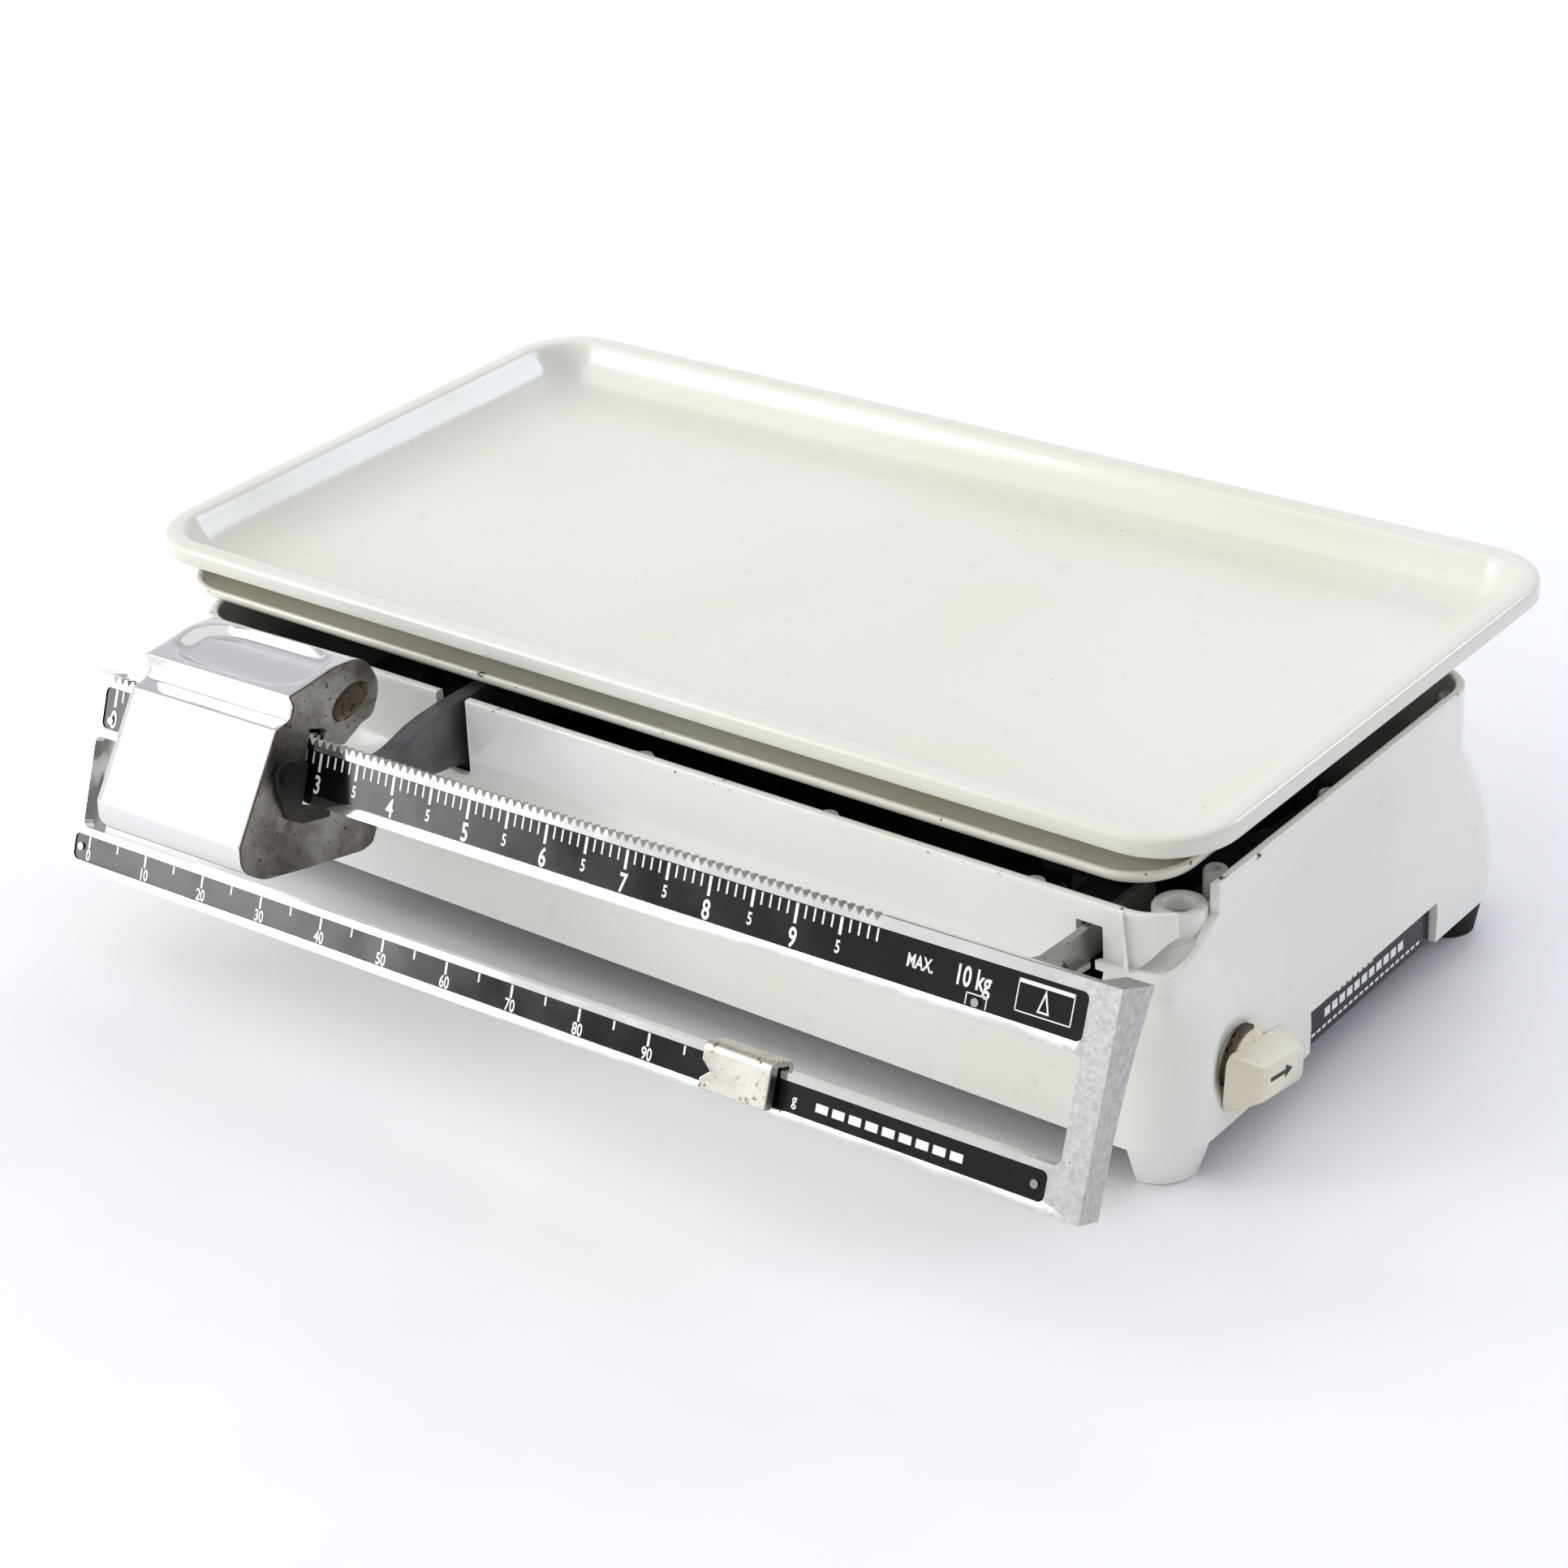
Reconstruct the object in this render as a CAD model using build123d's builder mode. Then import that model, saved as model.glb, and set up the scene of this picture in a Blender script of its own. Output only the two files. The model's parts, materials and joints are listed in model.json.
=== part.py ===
from build123d import *
from math import cos, radians, sin
import os

os.makedirs("parts", exist_ok=True)

# Sliding-weight kitchen scale, millimetres, +Z up, the beam faces -Y.
# The origin is on the table, under the middle of the whole scale.

# housing
wall_left, wall_right = -155.0, 158.5
wall_front, wall_rear = -54.5, 89.5
wall_top = 71.0
shoulder = 53.0
skirt_bottom = 12.0
wall_corner = 12.0
wall_thick = 2.5
# how far the skirt stands out from the upper wall, at each height
skirt_steps = [(skirt_bottom, 6.2), (20.0, 6.6), (30.0, 6.0), (40.0, 4.2), (48.0, 1.7), (shoulder, 0.0)]
foot_inset, foot_top, foot_tip = 15.0, 14.2, 10.0
slot_width = 10.0
lock_y, lock_z = -31.0, 25.0
lock_pocket = 10.9
label_y = (-3.5, 57.0)
label_top = 23.5
corner_floor = 56.5
boss_x, boss_y = 150.0, -36.5
boss_radius, boss_top = 6.5, 65.5
tare_bore = 3.6

# platform
tray_x, tray_y = -7.0, 36.8
tray_length, tray_depth = 340.0, 176.6
tray_top, tray_skirt = 88.5, 5.0
tray_sheet = 1.4
tray_corner = 20.0
pan_length, pan_depth = 320.0, 171.6
pan_low, pan_high = 73.3, 76.6
pan_corner = 16.0

# beam
beam_lean = 23.4
beam_rise = 1.437
beam_left = (-145.7, -98.1, 75.0)
beam_length, beam_height = 321.5, 51.7
bar_sheet, post_thick = 3.0, 8.0
heel_depth = 13.0
upper_bar, lower_bar = 16.2, 10.9
post_left, post_right = 5.5, 7.0
kg_pitch = 25.0
tooth_start, tooth_count = 10.0, 100
tooth_pitch = kg_pitch / 10
tooth_depth = 1.5
plate_thick, plate_sink = 0.5, 0.9
poise_start, poise_length = 29.5, 54.0
rider_start, rider_length = 219.5, 19.5
arm_x, arm_thick = -58.5, 5.0
thin_arm_x, thin_arm = 137.0, 2.0

# levers
fulcrum_x, fulcrum_z = arm_x, 46.0
load_arm = 30.0
shackle_y = -30.0
long_fulcrum, long_load = 124.0, 94.0
short_fulcrum, short_load = -140.0, -110.0
hang_x = (long_fulcrum + short_fulcrum) / 2
rows = (0.0, 74.0)
knife_down, knife_up = 27.0, 37.0
rail_low, rail_high = 29.0, 35.0
seat_gap = 0.3
yoke_width, yoke_depth = 38.0, 84.0
long_rail_y, short_rail_y = 32.5, 41.5
nose_x = fulcrum_x - load_arm
nose_arm_x = nose_x + 10.5
load_edge = 59.0

lean, rise = radians(beam_lean), radians(beam_rise)
house_plane = Plane(((wall_left + wall_right) / 2, (wall_front + wall_rear) / 2, 0))
house_length = wall_right - wall_left
house_depth = wall_rear - wall_front
tray_plane = Plane((tray_x, tray_y, 0))

# beam face: local X runs along the beam, Y up its slope, Z out towards the reader
beam_face = Plane(
    origin=beam_left,
    x_dir=(cos(rise), 0, sin(rise)),
    z_dir=(-sin(rise) * sin(lean), -cos(lean), cos(rise) * sin(lean)),
)


def beam_section(along):
    # section plane across the beam: local X points out of the face, Y up its slope
    return Plane(
        origin=beam_face.from_local_coords((along, 0, 0)),
        x_dir=beam_face.z_dir,
        z_dir=-beam_face.x_dir,
    )


def finish(builder, label):
    builder.part.label = label
    export_step(builder.part, f"parts/{label}.step")


# base body
with BuildPart() as housing:
    for height, grow in skirt_steps:
        with BuildSketch(house_plane.offset(height)):
            RectangleRounded(house_length + 2 * grow, house_depth + 2 * grow, wall_corner + grow / 2)
    loft()
    with BuildSketch(house_plane.offset(shoulder)):
        RectangleRounded(house_length, house_depth, wall_corner)
    extrude(amount=wall_top - shoulder)
    # squared corner block that carries the open corner's floor
    with BuildSketch(Plane.XY.offset(44)) as corner_block:
        with Locations((wall_right + 1.0, wall_front - 2.0)):
            Rectangle(34, 30, align=(Align.MAX, Align.MIN))
        fillet(corner_block.vertices().sort_by(Axis.X)[-2:].sort_by(Axis.Y)[0], 4)
    extrude(amount=corner_floor - 44)
    # hollow, keeping the corner's floor
    for height, grow in skirt_steps:
        with BuildSketch(house_plane.offset(height)):
            RectangleRounded(
                house_length + 2 * grow - 2 * wall_thick,
                house_depth + 2 * grow - 2 * wall_thick,
                wall_corner + grow / 2 - wall_thick,
            )
    loft(mode=Mode.SUBTRACT)
    with BuildSketch(house_plane.offset(shoulder)):
        RectangleRounded(
            house_length - 2 * wall_thick,
            house_depth - 2 * wall_thick,
            wall_corner - wall_thick,
        )
    extrude(amount=wall_top - shoulder, mode=Mode.SUBTRACT)
    # floor of the open corner and the boss of the zero screw
    with BuildSketch(Plane.XY.offset(corner_floor - 3.5)):
        with Locations((wall_right - 1.5, wall_front + 1.5)):
            Rectangle(15, 26, align=(Align.MAX, Align.MIN))
    extrude(amount=3.5)
    with BuildSketch(Plane.XY.offset(corner_floor)):
        with Locations((boss_x, boss_y)):
            Circle(boss_radius)
    extrude(amount=boss_top - corner_floor)
    with BuildSketch(Plane.XY.offset(corner_floor - 4)):
        with Locations((boss_x, boss_y)):
            Circle(tare_bore)
    extrude(amount=boss_top, mode=Mode.SUBTRACT)
    # the right wall is cut away beside the boss, down to a rounded mouth
    with BuildSketch(Plane.YZ.offset(wall_right - 6)) as mouth:
        with BuildLine():
            Polyline((-48.0, wall_top + 1), (-37.0, wall_top + 1), (-37.0, 68.0))
            Spline((-37.0, 68.0), (-32.2, 61.0), (-38.5, corner_floor))
            Polyline((-38.5, corner_floor), (-50.0, corner_floor), (-49.5, 63.0), (-48.0, wall_top + 1))
        make_face()
    extrude(amount=12, mode=Mode.SUBTRACT)
    # notch for the left arm, open at the top
    with BuildSketch(Plane.XZ.offset(-wall_front - 6)) as notch:
        with Locations((arm_x, wall_top - 21.5)):
            RectangleRounded(slot_width, 60, 2.2, align=(Align.CENTER, Align.MIN))
    extrude(amount=12, mode=Mode.SUBTRACT)
    # window for the thin arm
    with BuildSketch(Plane.XZ.offset(-wall_front - 6)):
        with Locations((thin_arm_x + 0.5, 65.3)):
            RectangleRounded(7.2, 24, 1.6, align=(Align.CENTER, Align.MAX))
    extrude(amount=12, mode=Mode.SUBTRACT)
    # label window, open at the bottom, and the round pocket of the lock
    with BuildSketch(Plane.YZ.offset(wall_right)):
        with Locations(((label_y[0] + label_y[1]) / 2, skirt_bottom)):
            Rectangle(label_y[1] - label_y[0], 2 * (label_top - skirt_bottom))
        with Locations((lock_y, lock_z)):
            Circle(lock_pocket)
    extrude(amount=12, mode=Mode.SUBTRACT)
    # front feet, cast with the corners
    for side in (-1, 1):
        corner_x = wall_right + 6.2 if side > 0 else wall_left - 6.2
        corner_y = wall_front - 6.2
        inner_x = corner_x - side * foot_inset
        inner_y = corner_y + foot_inset
        for height, reach in ((skirt_bottom, foot_top), (0, foot_tip)):
            with BuildSketch(Plane.XY.offset(height)):
                with BuildLine():
                    Line((inner_x, inner_y), (inner_x, inner_y - reach))
                    ThreePointArc(
                        (inner_x, inner_y - reach),
                        (inner_x + side * reach * cos(radians(45)), inner_y - reach * sin(radians(45))),
                        (inner_x + side * reach, inner_y),
                    )
                    Line((inner_x + side * reach, inner_y), (inner_x, inner_y))
                make_face()
        loft()
finish(housing, "housing")

with BuildPart() as rear_feet:
    for side in (-1, 1):
        corner_x = wall_right + 6.2 if side > 0 else wall_left - 6.2
        foot_x = corner_x - side * 11.5
        foot_y = wall_rear + 6.2 - 11.5
        with BuildSketch(Plane((foot_x, foot_y, skirt_bottom))):
            Circle(9.5)
        with BuildSketch(Plane((foot_x, foot_y, 0))):
            Circle(7.0)
        loft()
finish(rear_feet, "rear_feet")

plate_top = 14.0
plate_screw_grid = (house_length - 110, house_depth - 24)
with BuildPart() as base_plate:
    with BuildSketch(house_plane.offset(skirt_bottom)):
        RectangleRounded(house_length + 6.6, house_depth + 6.6, wall_corner)
        with GridLocations(*plate_screw_grid, 2, 2):
            Circle(2.1, mode=Mode.SUBTRACT)
    extrude(amount=plate_top - skirt_bottom)
finish(base_plate, "base_plate")

with BuildPart() as plate_screws:
    with BuildSketch(house_plane.offset(skirt_bottom - 1.4)):
        with GridLocations(*plate_screw_grid, 2, 2):
            Circle(3.6)
    extrude(amount=1.4)
    with BuildSketch(house_plane.offset(skirt_bottom - 1.4)):
        with GridLocations(*plate_screw_grid, 2, 2):
            Circle(2.0)
    extrude(amount=5.4)
finish(plate_screws, "plate_screws")

# uprights under the four lever fulcrums, with a notched seat on each
with BuildPart() as lever_stands:
    for stand_x in (long_fulcrum, short_fulcrum):
        for stand_y in rows:
            with BuildSketch(Plane((stand_x, stand_y, plate_top))):
                Rectangle(11, 12)
            extrude(amount=2)
            with BuildSketch(Plane((stand_x, stand_y, plate_top))):
                Rectangle(8, 8)
            extrude(amount=knife_down - 4 - plate_top)
finish(lever_stands, "lever_stands")


def seat_line(wide, high, notch):
    # outline of a bearing block: groove bottom at the origin, block below it
    return [
        (-wide / 2, -high),
        (wide / 2, -high),
        (wide / 2, notch),
        (notch, notch),
        (0, 0),
        (-notch, notch),
        (-wide / 2, notch),
        (-wide / 2, -high),
    ]


with BuildPart() as lever_seats:
    for stand_x in (long_fulcrum, short_fulcrum):
        for stand_y in rows:
            seat = Plane((stand_x, stand_y, knife_down - seat_gap), x_dir=(1, 0, 0), z_dir=(0, -1, 0))
            with BuildSketch(seat):
                with BuildLine():
                    Polyline(*seat_line(7.0, 3.7, 1.6))
                make_face()
            extrude(amount=3.5, both=True)
finish(lever_seats, "lever_seats")

beam_rows = (-43.0, -17.0)
with BuildPart() as beam_stand:
    with BuildSketch(Plane((fulcrum_x, sum(beam_rows) / 2, plate_top))):
        Rectangle(26, 40)
        with GridLocations(21, 26, 2, 2):
            Circle(1.6, mode=Mode.SUBTRACT)
    extrude(amount=2)
    for row in beam_rows:
        with BuildSketch(Plane((fulcrum_x, row, plate_top + 2))):
            Rectangle(16, 5)
        with BuildSketch(Plane((fulcrum_x, row, fulcrum_z - 4))):
            Rectangle(8, 5)
        loft()
finish(beam_stand, "beam_stand")

with BuildPart() as beam_seats:
    for row in beam_rows:
        seat = Plane((fulcrum_x, row, fulcrum_z - seat_gap), x_dir=(1, 0, 0), z_dir=(0, -1, 0))
        with BuildSketch(seat):
            with BuildLine():
                Polyline(*seat_line(8.0, 3.7, 2.0))
            make_face()
        extrude(amount=2.5, both=True)
finish(beam_seats, "beam_seats")

with BuildPart() as stand_screws:
    with BuildSketch(Plane((fulcrum_x, sum(beam_rows) / 2, plate_top + 2))):
        with GridLocations(21, 26, 2, 2):
            RegularPolygon(2.3, 6)
    extrude(amount=1.8)
    with BuildSketch(Plane((fulcrum_x, sum(beam_rows) / 2, plate_top))):
        with GridLocations(21, 26, 2, 2):
            Circle(1.55)
    extrude(amount=2)
finish(stand_screws, "stand_screws")

plate_edge = (wall_left + wall_right + house_length) / 2 + 3.3
label_length = label_y[1] - label_y[0] - 1
label_height = label_top - skirt_bottom - 0.5
with BuildPart() as label_plate:
    with BuildSketch(Plane.YZ.offset(plate_edge)):
        with Locations((label_y[0] + 0.5, skirt_bottom + 0.2)):
            Rectangle(label_length, label_height, align=(Align.MIN, Align.MIN))
    extrude(amount=1.2)
finish(label_plate, "label_plate")

# cup behind the lock's pocket, bored for the shaft
shaft_radius = 3.0
cup_back = wall_right - 8.0
with BuildPart() as lock_cup:
    with BuildSketch(Plane((cup_back, lock_y, lock_z), x_dir=(0, 1, 0), z_dir=(1, 0, 0))):
        Circle(lock_pocket)
    extrude(amount=8.0)
    with BuildSketch(Plane((cup_back + 2, lock_y, lock_z), x_dir=(0, 1, 0), z_dir=(1, 0, 0))):
        Circle(lock_pocket - 0.8)
    extrude(amount=8.0, mode=Mode.SUBTRACT)
    with BuildSketch(Plane((cup_back - 6, lock_y, lock_z), x_dir=(0, 1, 0), z_dir=(1, 0, 0))):
        Circle(6.0)
    extrude(amount=6.0)
    with BuildSketch(Plane((cup_back - 8, lock_y, lock_z), x_dir=(0, 1, 0), z_dir=(1, 0, 0))):
        Circle(shaft_radius + 0.05)
    extrude(amount=12.0, mode=Mode.SUBTRACT)
finish(lock_cup, "lock_cup")

# lock body
knob_front = wall_right + 13.0
grip_base = wall_right + 7.0
with BuildPart() as lock_knob:
    with BuildSketch(Plane((cup_back + 2.3, lock_y, lock_z), x_dir=(0, 1, 0), z_dir=(1, 0, 0))):
        Circle(lock_pocket - 1.3)
    extrude(amount=grip_base - cup_back - 2.3)
    # wing-shaped grip, narrowing outwards, pointing to the rear
    with BuildSketch(Plane((grip_base, lock_y, lock_z), x_dir=(0, 1, 0), z_dir=(1, 0, 0))):
        with Locations((3.5, 0)):
            RectangleRounded(24.0, 13.0, 2.5)
    with BuildSketch(Plane((knob_front, lock_y, lock_z), x_dir=(0, 1, 0), z_dir=(1, 0, 0))):
        with Locations((5.5, -1.0)):
            RectangleRounded(17.0, 8.0, 1.5)
    loft()
    with BuildSketch(Plane((cup_back, lock_y, lock_z), x_dir=(0, 1, 0), z_dir=(1, 0, 0))):
        Rectangle(5.2, 3.2)
    extrude(amount=6.0, mode=Mode.SUBTRACT)
finish(lock_knob, "lock_knob")

finger_x = thin_arm_x + 4.5
finger_top = 19.0
with BuildPart() as lock_shaft:
    with BuildSketch(Plane((finger_x - 1, lock_y, lock_z), x_dir=(0, 1, 0), z_dir=(1, 0, 0))):
        Circle(shaft_radius)
    extrude(amount=cup_back + 2.0 - finger_x + 1)
    with BuildSketch(Plane((cup_back + 2.0, lock_y, lock_z), x_dir=(0, 1, 0), z_dir=(1, 0, 0))):
        Rectangle(5.0, 3.0)
    extrude(amount=4.0)
finish(lock_shaft, "lock_shaft")

with BuildPart() as lock_finger:
    with BuildSketch(Plane((finger_x, lock_y, lock_z), x_dir=(0, 1, 0), z_dir=(1, 0, 0))):
        Circle(6.0)
        with Locations((0, finger_top / 2)):
            SlotOverall(finger_top + 8, 8, rotation=90)
        Circle(shaft_radius, mode=Mode.SUBTRACT)
        with Locations((0, finger_top)):
            Circle(1.8, mode=Mode.SUBTRACT)
    extrude(amount=2.5)
finish(lock_finger, "lock_finger")

with BuildPart() as lock_roller:
    with BuildSketch(Plane((finger_x + 2.5, lock_y, lock_z + finger_top), x_dir=(0, 1, 0), z_dir=(-1, 0, 0))):
        Circle(1.8)
    extrude(amount=2.5)
    with BuildSketch(Plane((finger_x, lock_y, lock_z + finger_top), x_dir=(0, 1, 0), z_dir=(-1, 0, 0))):
        Circle(3.0)
    extrude(amount=7.0)
finish(lock_roller, "lock_roller")

# zero screw
with BuildPart() as tare_screw:
    with BuildSketch(Plane((boss_x, boss_y, corner_floor - 9))):
        Circle(2.0)
    extrude(amount=9.0)
    with BuildSketch(Plane((boss_x, boss_y, corner_floor))):
        Circle(tare_bore - 0.08)
    extrude(amount=5.0)
    with BuildSketch(Plane((boss_x, boss_y, corner_floor + 3.8))):
        Rectangle(7.6, 1.2)
    extrude(amount=2.0, mode=Mode.SUBTRACT)
finish(tare_screw, "tare_screw")

with BuildPart() as tare_nut:
    with BuildSketch(Plane((boss_x, boss_y, corner_floor - 13))):
        RegularPolygon(5.0, 6)
        Circle(2.06, mode=Mode.SUBTRACT)
    extrude(amount=4.5)
finish(tare_nut, "tare_nut")

# beam body
tooth_line = []
for index in range(tooth_count):
    root = tooth_start + index * tooth_pitch
    tooth_line += [(root - 0.95, 0), (root - 0.25, -tooth_depth)]
    tooth_line += [(root + 0.25, -tooth_depth), (root + 0.95, 0)]

window_top, window_low = -upper_bar, lower_bar - beam_height
upper_pocket = (7.0, 314.0, -2.8, -13.7)
lower_pocket = (3.2, 312.0, -42.6, -49.6)


def plate_outline(pocket, gap, corner):
    left, right, top, low = pocket
    with Locations(((left + right) / 2, (top + low) / 2)):
        RectangleRounded(right - left - 2 * gap, top - low - 2 * gap, corner)


with BuildPart() as beam_frame:
    with BuildSketch(beam_face):
        with BuildLine():
            Polyline((0, 0), *tooth_line, (beam_length, 0))
            Polyline((beam_length, 0), (beam_length, -beam_height), (0, -beam_height), (0, 0))
        make_face()
        with Locations(((post_left + beam_length - post_right) / 2, (window_top + window_low) / 2)):
            RectangleRounded(
                beam_length - post_left - post_right,
                window_top - window_low,
                2.0,
                mode=Mode.SUBTRACT,
            )
    extrude(amount=-bar_sheet)
    # deeper posts behind both ends of the face
    for post_start, post_width in ((0, post_left), (beam_length - post_right, post_right)):
        with BuildSketch(beam_face.offset(-bar_sheet)):
            with Locations((post_start, 0)):
                Rectangle(post_width, beam_height, align=(Align.MIN, Align.MAX))
        extrude(amount=bar_sheet - post_thick)
    # heel behind the right post, hollowed towards its foot
    with BuildSketch(beam_section(beam_length)):
        with BuildLine():
            Polyline((-post_thick, -34), (-post_thick, 0), (-heel_depth, 0))
            ThreePointArc((-heel_depth, 0), (-10.2, -14), (-post_thick, -34))
        make_face()
    extrude(amount=post_right)
    for pocket in (upper_pocket, lower_pocket):
        with BuildSketch(beam_face):
            plate_outline(pocket, 0, 1.6)
        extrude(amount=-plate_sink, mode=Mode.SUBTRACT)
finish(beam_frame, "beam_frame")

for label, pocket in (("upper_scale", upper_pocket), ("lower_scale", lower_pocket)):
    with BuildPart() as scale_strip:
        with BuildSketch(beam_face.offset(-plate_sink)):
            plate_outline(pocket, 0.1, 1.5)
        extrude(amount=plate_thick)
    finish(scale_strip, label)

with BuildPart() as left_arm:
    with BuildSketch(Plane.YZ.offset(arm_x - arm_thick / 2)):
        with BuildLine():
            Polyline((-101.4, 61.8), (-98.4, 68.7), (-89.0, 66.2), (-80.0, 66.2))
            Spline((-80.0, 66.2), (-70.0, 68.7), (-57.0, 70.0), tangents=[(1, 0.1), (1, 0.05)])
            Polyline((-57.0, 70.0), (-12.0, 70.0), (-12.0, 51.0), (-48.0, 51.0))
            Polyline((-48.0, 51.0), (-60.9, 53.2), (-78.0, 55.5), (-101.4, 61.8))
        make_face()
    extrude(amount=arm_thick)
finish(left_arm, "left_arm")

with BuildPart() as right_arm:
    with BuildSketch(Plane.YZ.offset(thin_arm_x - thin_arm / 2)):
        with BuildLine():
            Polyline((-101.4, 66.7), (-98.4, 73.6), (-89.0, 71.2), (-79.0, 67.6), (-72.0, 65.2))
            Polyline((-72.0, 65.2), (-60.0, 64.6), (-28.0, 64.6), (-28.0, 56.0), (-58.0, 56.0))
            Polyline((-58.0, 56.0), (-72.0, 57.5), (-85.0, 60.9), (-101.4, 66.7))
        make_face()
        with Locations((-66.0, 59.6)):
            Triangle(a=5.0, b=4.0, c=4.0, mode=Mode.SUBTRACT)
    extrude(amount=thin_arm)
    with BuildSketch(Plane.YZ.offset(thin_arm_x - thin_arm / 2)):
        with BuildLine():
            Polyline((-92.0, 63.2), (-72.0, 57.5), (-58.0, 56.0), (-58.0, 57.6))
            Polyline((-58.0, 57.6), (-72.0, 59.1), (-91.0, 64.9), (-92.0, 63.2))
        make_face()
    extrude(amount=4.0)
finish(right_arm, "right_arm")

# load bar from the left arm to the shackle
bar_end = nose_x - 4.5
with BuildPart() as load_bar:
    with BuildSketch(Plane.XY.offset(51.0)):
        with Locations((arm_x - arm_thick / 2, shackle_y)):
            Rectangle(arm_x - arm_thick / 2 - bar_end, 6, align=(Align.MAX, Align.CENTER))
    extrude(amount=6.0)
finish(load_bar, "load_bar")

with BuildPart() as beam_knives:
    # main knife under the arm, edge down
    with BuildSketch(Plane((arm_x, -30.0, fulcrum_z), x_dir=(1, 0, 0), z_dir=(0, -1, 0))):
        with BuildLine():
            Polyline((0, 0), (2.4, 5.0), (-2.4, 5.0), (0, 0))
        make_face()
    extrude(amount=17.0, both=True)
    # load knife on the bar, edge up
    with BuildSketch(Plane((nose_x, shackle_y, load_edge), x_dir=(1, 0, 0), z_dir=(0, -1, 0))):
        with BuildLine():
            Polyline((0, 0), (-1.2, -2.0), (1.2, -2.0), (0, 0))
        make_face()
    extrude(amount=3.0, both=True)
finish(beam_knives, "beam_knives")

with BuildPart() as arm_rivets:
    for along in (arm_x - beam_left[0], thin_arm_x - beam_left[0]):
        for side in (-6.5, 6.5):
            with BuildSketch(beam_face.offset(-bar_sheet)):
                with Locations((along + side, -11.0)):
                    Circle(1.9)
            extrude(amount=-1.4)
finish(arm_rivets, "arm_rivets")

with BuildPart() as plate_rivets:
    with BuildSketch(beam_face.offset(plate_thick - plate_sink)):
        with Locations((10.0, -11.5), (286.2, -12.4), (5.6, -46.1), (309.0, -46.1)):
            Circle(1.0)
    extrude(amount=0.5)
finish(plate_rivets, "plate_rivets")

# poise body
end_plate = 1.5
body_length = poise_length - end_plate
with BuildPart() as poise_body:
    with BuildSketch(beam_section(poise_start)):
        with BuildLine():
            Polyline((1.0, 2.2), (1.0, -17.0), (-9.0, -17.2), (-26.5, -19.8), (-28.6, -22.5))
            Polyline((-28.6, -22.5), (-27.8, -27.5), (-24.5, -29.6))
            Polyline((-24.5, -29.6), (-4.5, -33.5))
            Spline((-4.5, -33.5), (7.2, -35.2), (15.8, -33.0), (19.0, -27.5))
            Polyline((19.0, -27.5), (12.5, 1.6))
            Spline((12.5, 1.6), (8.4, 4.2), (7.9, 7.4), (9.8, 10.3))
            Spline((9.8, 10.3), (3.5, 13.6), (-4.0, 17.6), (-11.4, 19.3))
            Spline((-11.4, 19.3), (-18.6, 15.8), (-21.0, 9.0))
            Polyline((-21.0, 9.0), (-17.4, 4.5), (-11.9, -1.9), (-3.8, -1.9), (-3.8, 2.2), (1.0, 2.2))
        make_face()
    extrude(amount=-body_length)
    # shallow finger trough along the top
    with BuildSketch(beam_section(poise_start + 4.5)):
        with BuildLine():
            Spline((8.6, 11.2), (4.0, 11.2), (-2.0, 14.2), (-8.0, 18.2))
            Polyline((-8.0, 18.2), (-8.0, 22.0), (12.0, 22.0), (8.6, 11.2))
        make_face()
    extrude(amount=-(body_length - 9), mode=Mode.SUBTRACT)
finish(poise_body, "poise_body")

with BuildPart() as pawl_plate:
    with BuildSketch(beam_section(poise_start + body_length)):
        with BuildLine():
            Polyline((1.3, -17.6), (1.3, -6.2), (7.6, -5.2))
            ThreePointArc((7.6, -5.2), (10.64, -6.46), (11.9, -9.5))
            Polyline((11.9, -9.5), (9.5, -14.5), (5.0, -20.5), (0, -21.5))
            Polyline((0, -21.5), (-9.0, -20.0), (-9.0, -17.6), (1.3, -17.6))
        make_face()
    extrude(amount=-end_plate)
finish(pawl_plate, "pawl_plate")

with BuildPart() as pawl_rivet:
    with BuildSketch(beam_section(poise_start + poise_length)):
        with Locations((7.6, -9.5)):
            Circle(2.4)
    extrude(amount=-1.0)
finish(pawl_rivet, "pawl_rivet")

with BuildPart() as poise_pawl:
    for along in (poise_start + 6, poise_start + body_length - 6):
        with BuildSketch(beam_face.offset(-0.5)):
            with BuildLine():
                Polyline((along - 1.8, 2.2), (along + 1.8, 2.2), (along + 0.4, 0.4))
                Polyline((along + 0.4, 0.4), (along - 0.4, 0.4), (along - 1.8, 2.2))
            make_face()
        extrude(amount=-2.5)
finish(poise_pawl, "poise_pawl")

# rider body
with BuildPart() as rider:
    with BuildSketch(beam_section(rider_start)):
        with BuildLine():
            Polyline((0.7, -50.2), (3.4, -50.2), (3.4, -41.0))
            ThreePointArc((3.4, -41.0), (2.8, -39.5), (1.3, -38.9))
            Polyline((1.3, -38.9), (-3.4, -38.9))
            ThreePointArc((-3.4, -38.9), (-4.6, -39.4), (-5.1, -40.6))
            Polyline((-5.1, -40.6), (-5.1, -46.5), (-3.6, -46.5), (-3.6, -40.4), (0.7, -40.4), (0.7, -50.2))
        make_face()
    extrude(amount=-rider_length)
    with BuildSketch(beam_face):
        with BuildLine():
            Polyline(
                (rider_start - 0.1, -43.4),
                (rider_start + 2.6, -45.6),
                (rider_start - 0.1, -47.8),
                (rider_start - 0.1, -43.4),
            )
        make_face()
    extrude(amount=4.0, mode=Mode.SUBTRACT)
finish(rider, "rider")

with BuildPart() as rider_spring:
    with BuildSketch(beam_section(rider_start + 5)):
        with BuildLine():
            Polyline((-3.6, -41.2), (-3.6, -46.0), (-3.3, -46.0), (-3.3, -43.0), (-3.6, -41.2))
        make_face()
    extrude(amount=-(rider_length - 10))
finish(rider_spring, "rider_spring")

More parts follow.
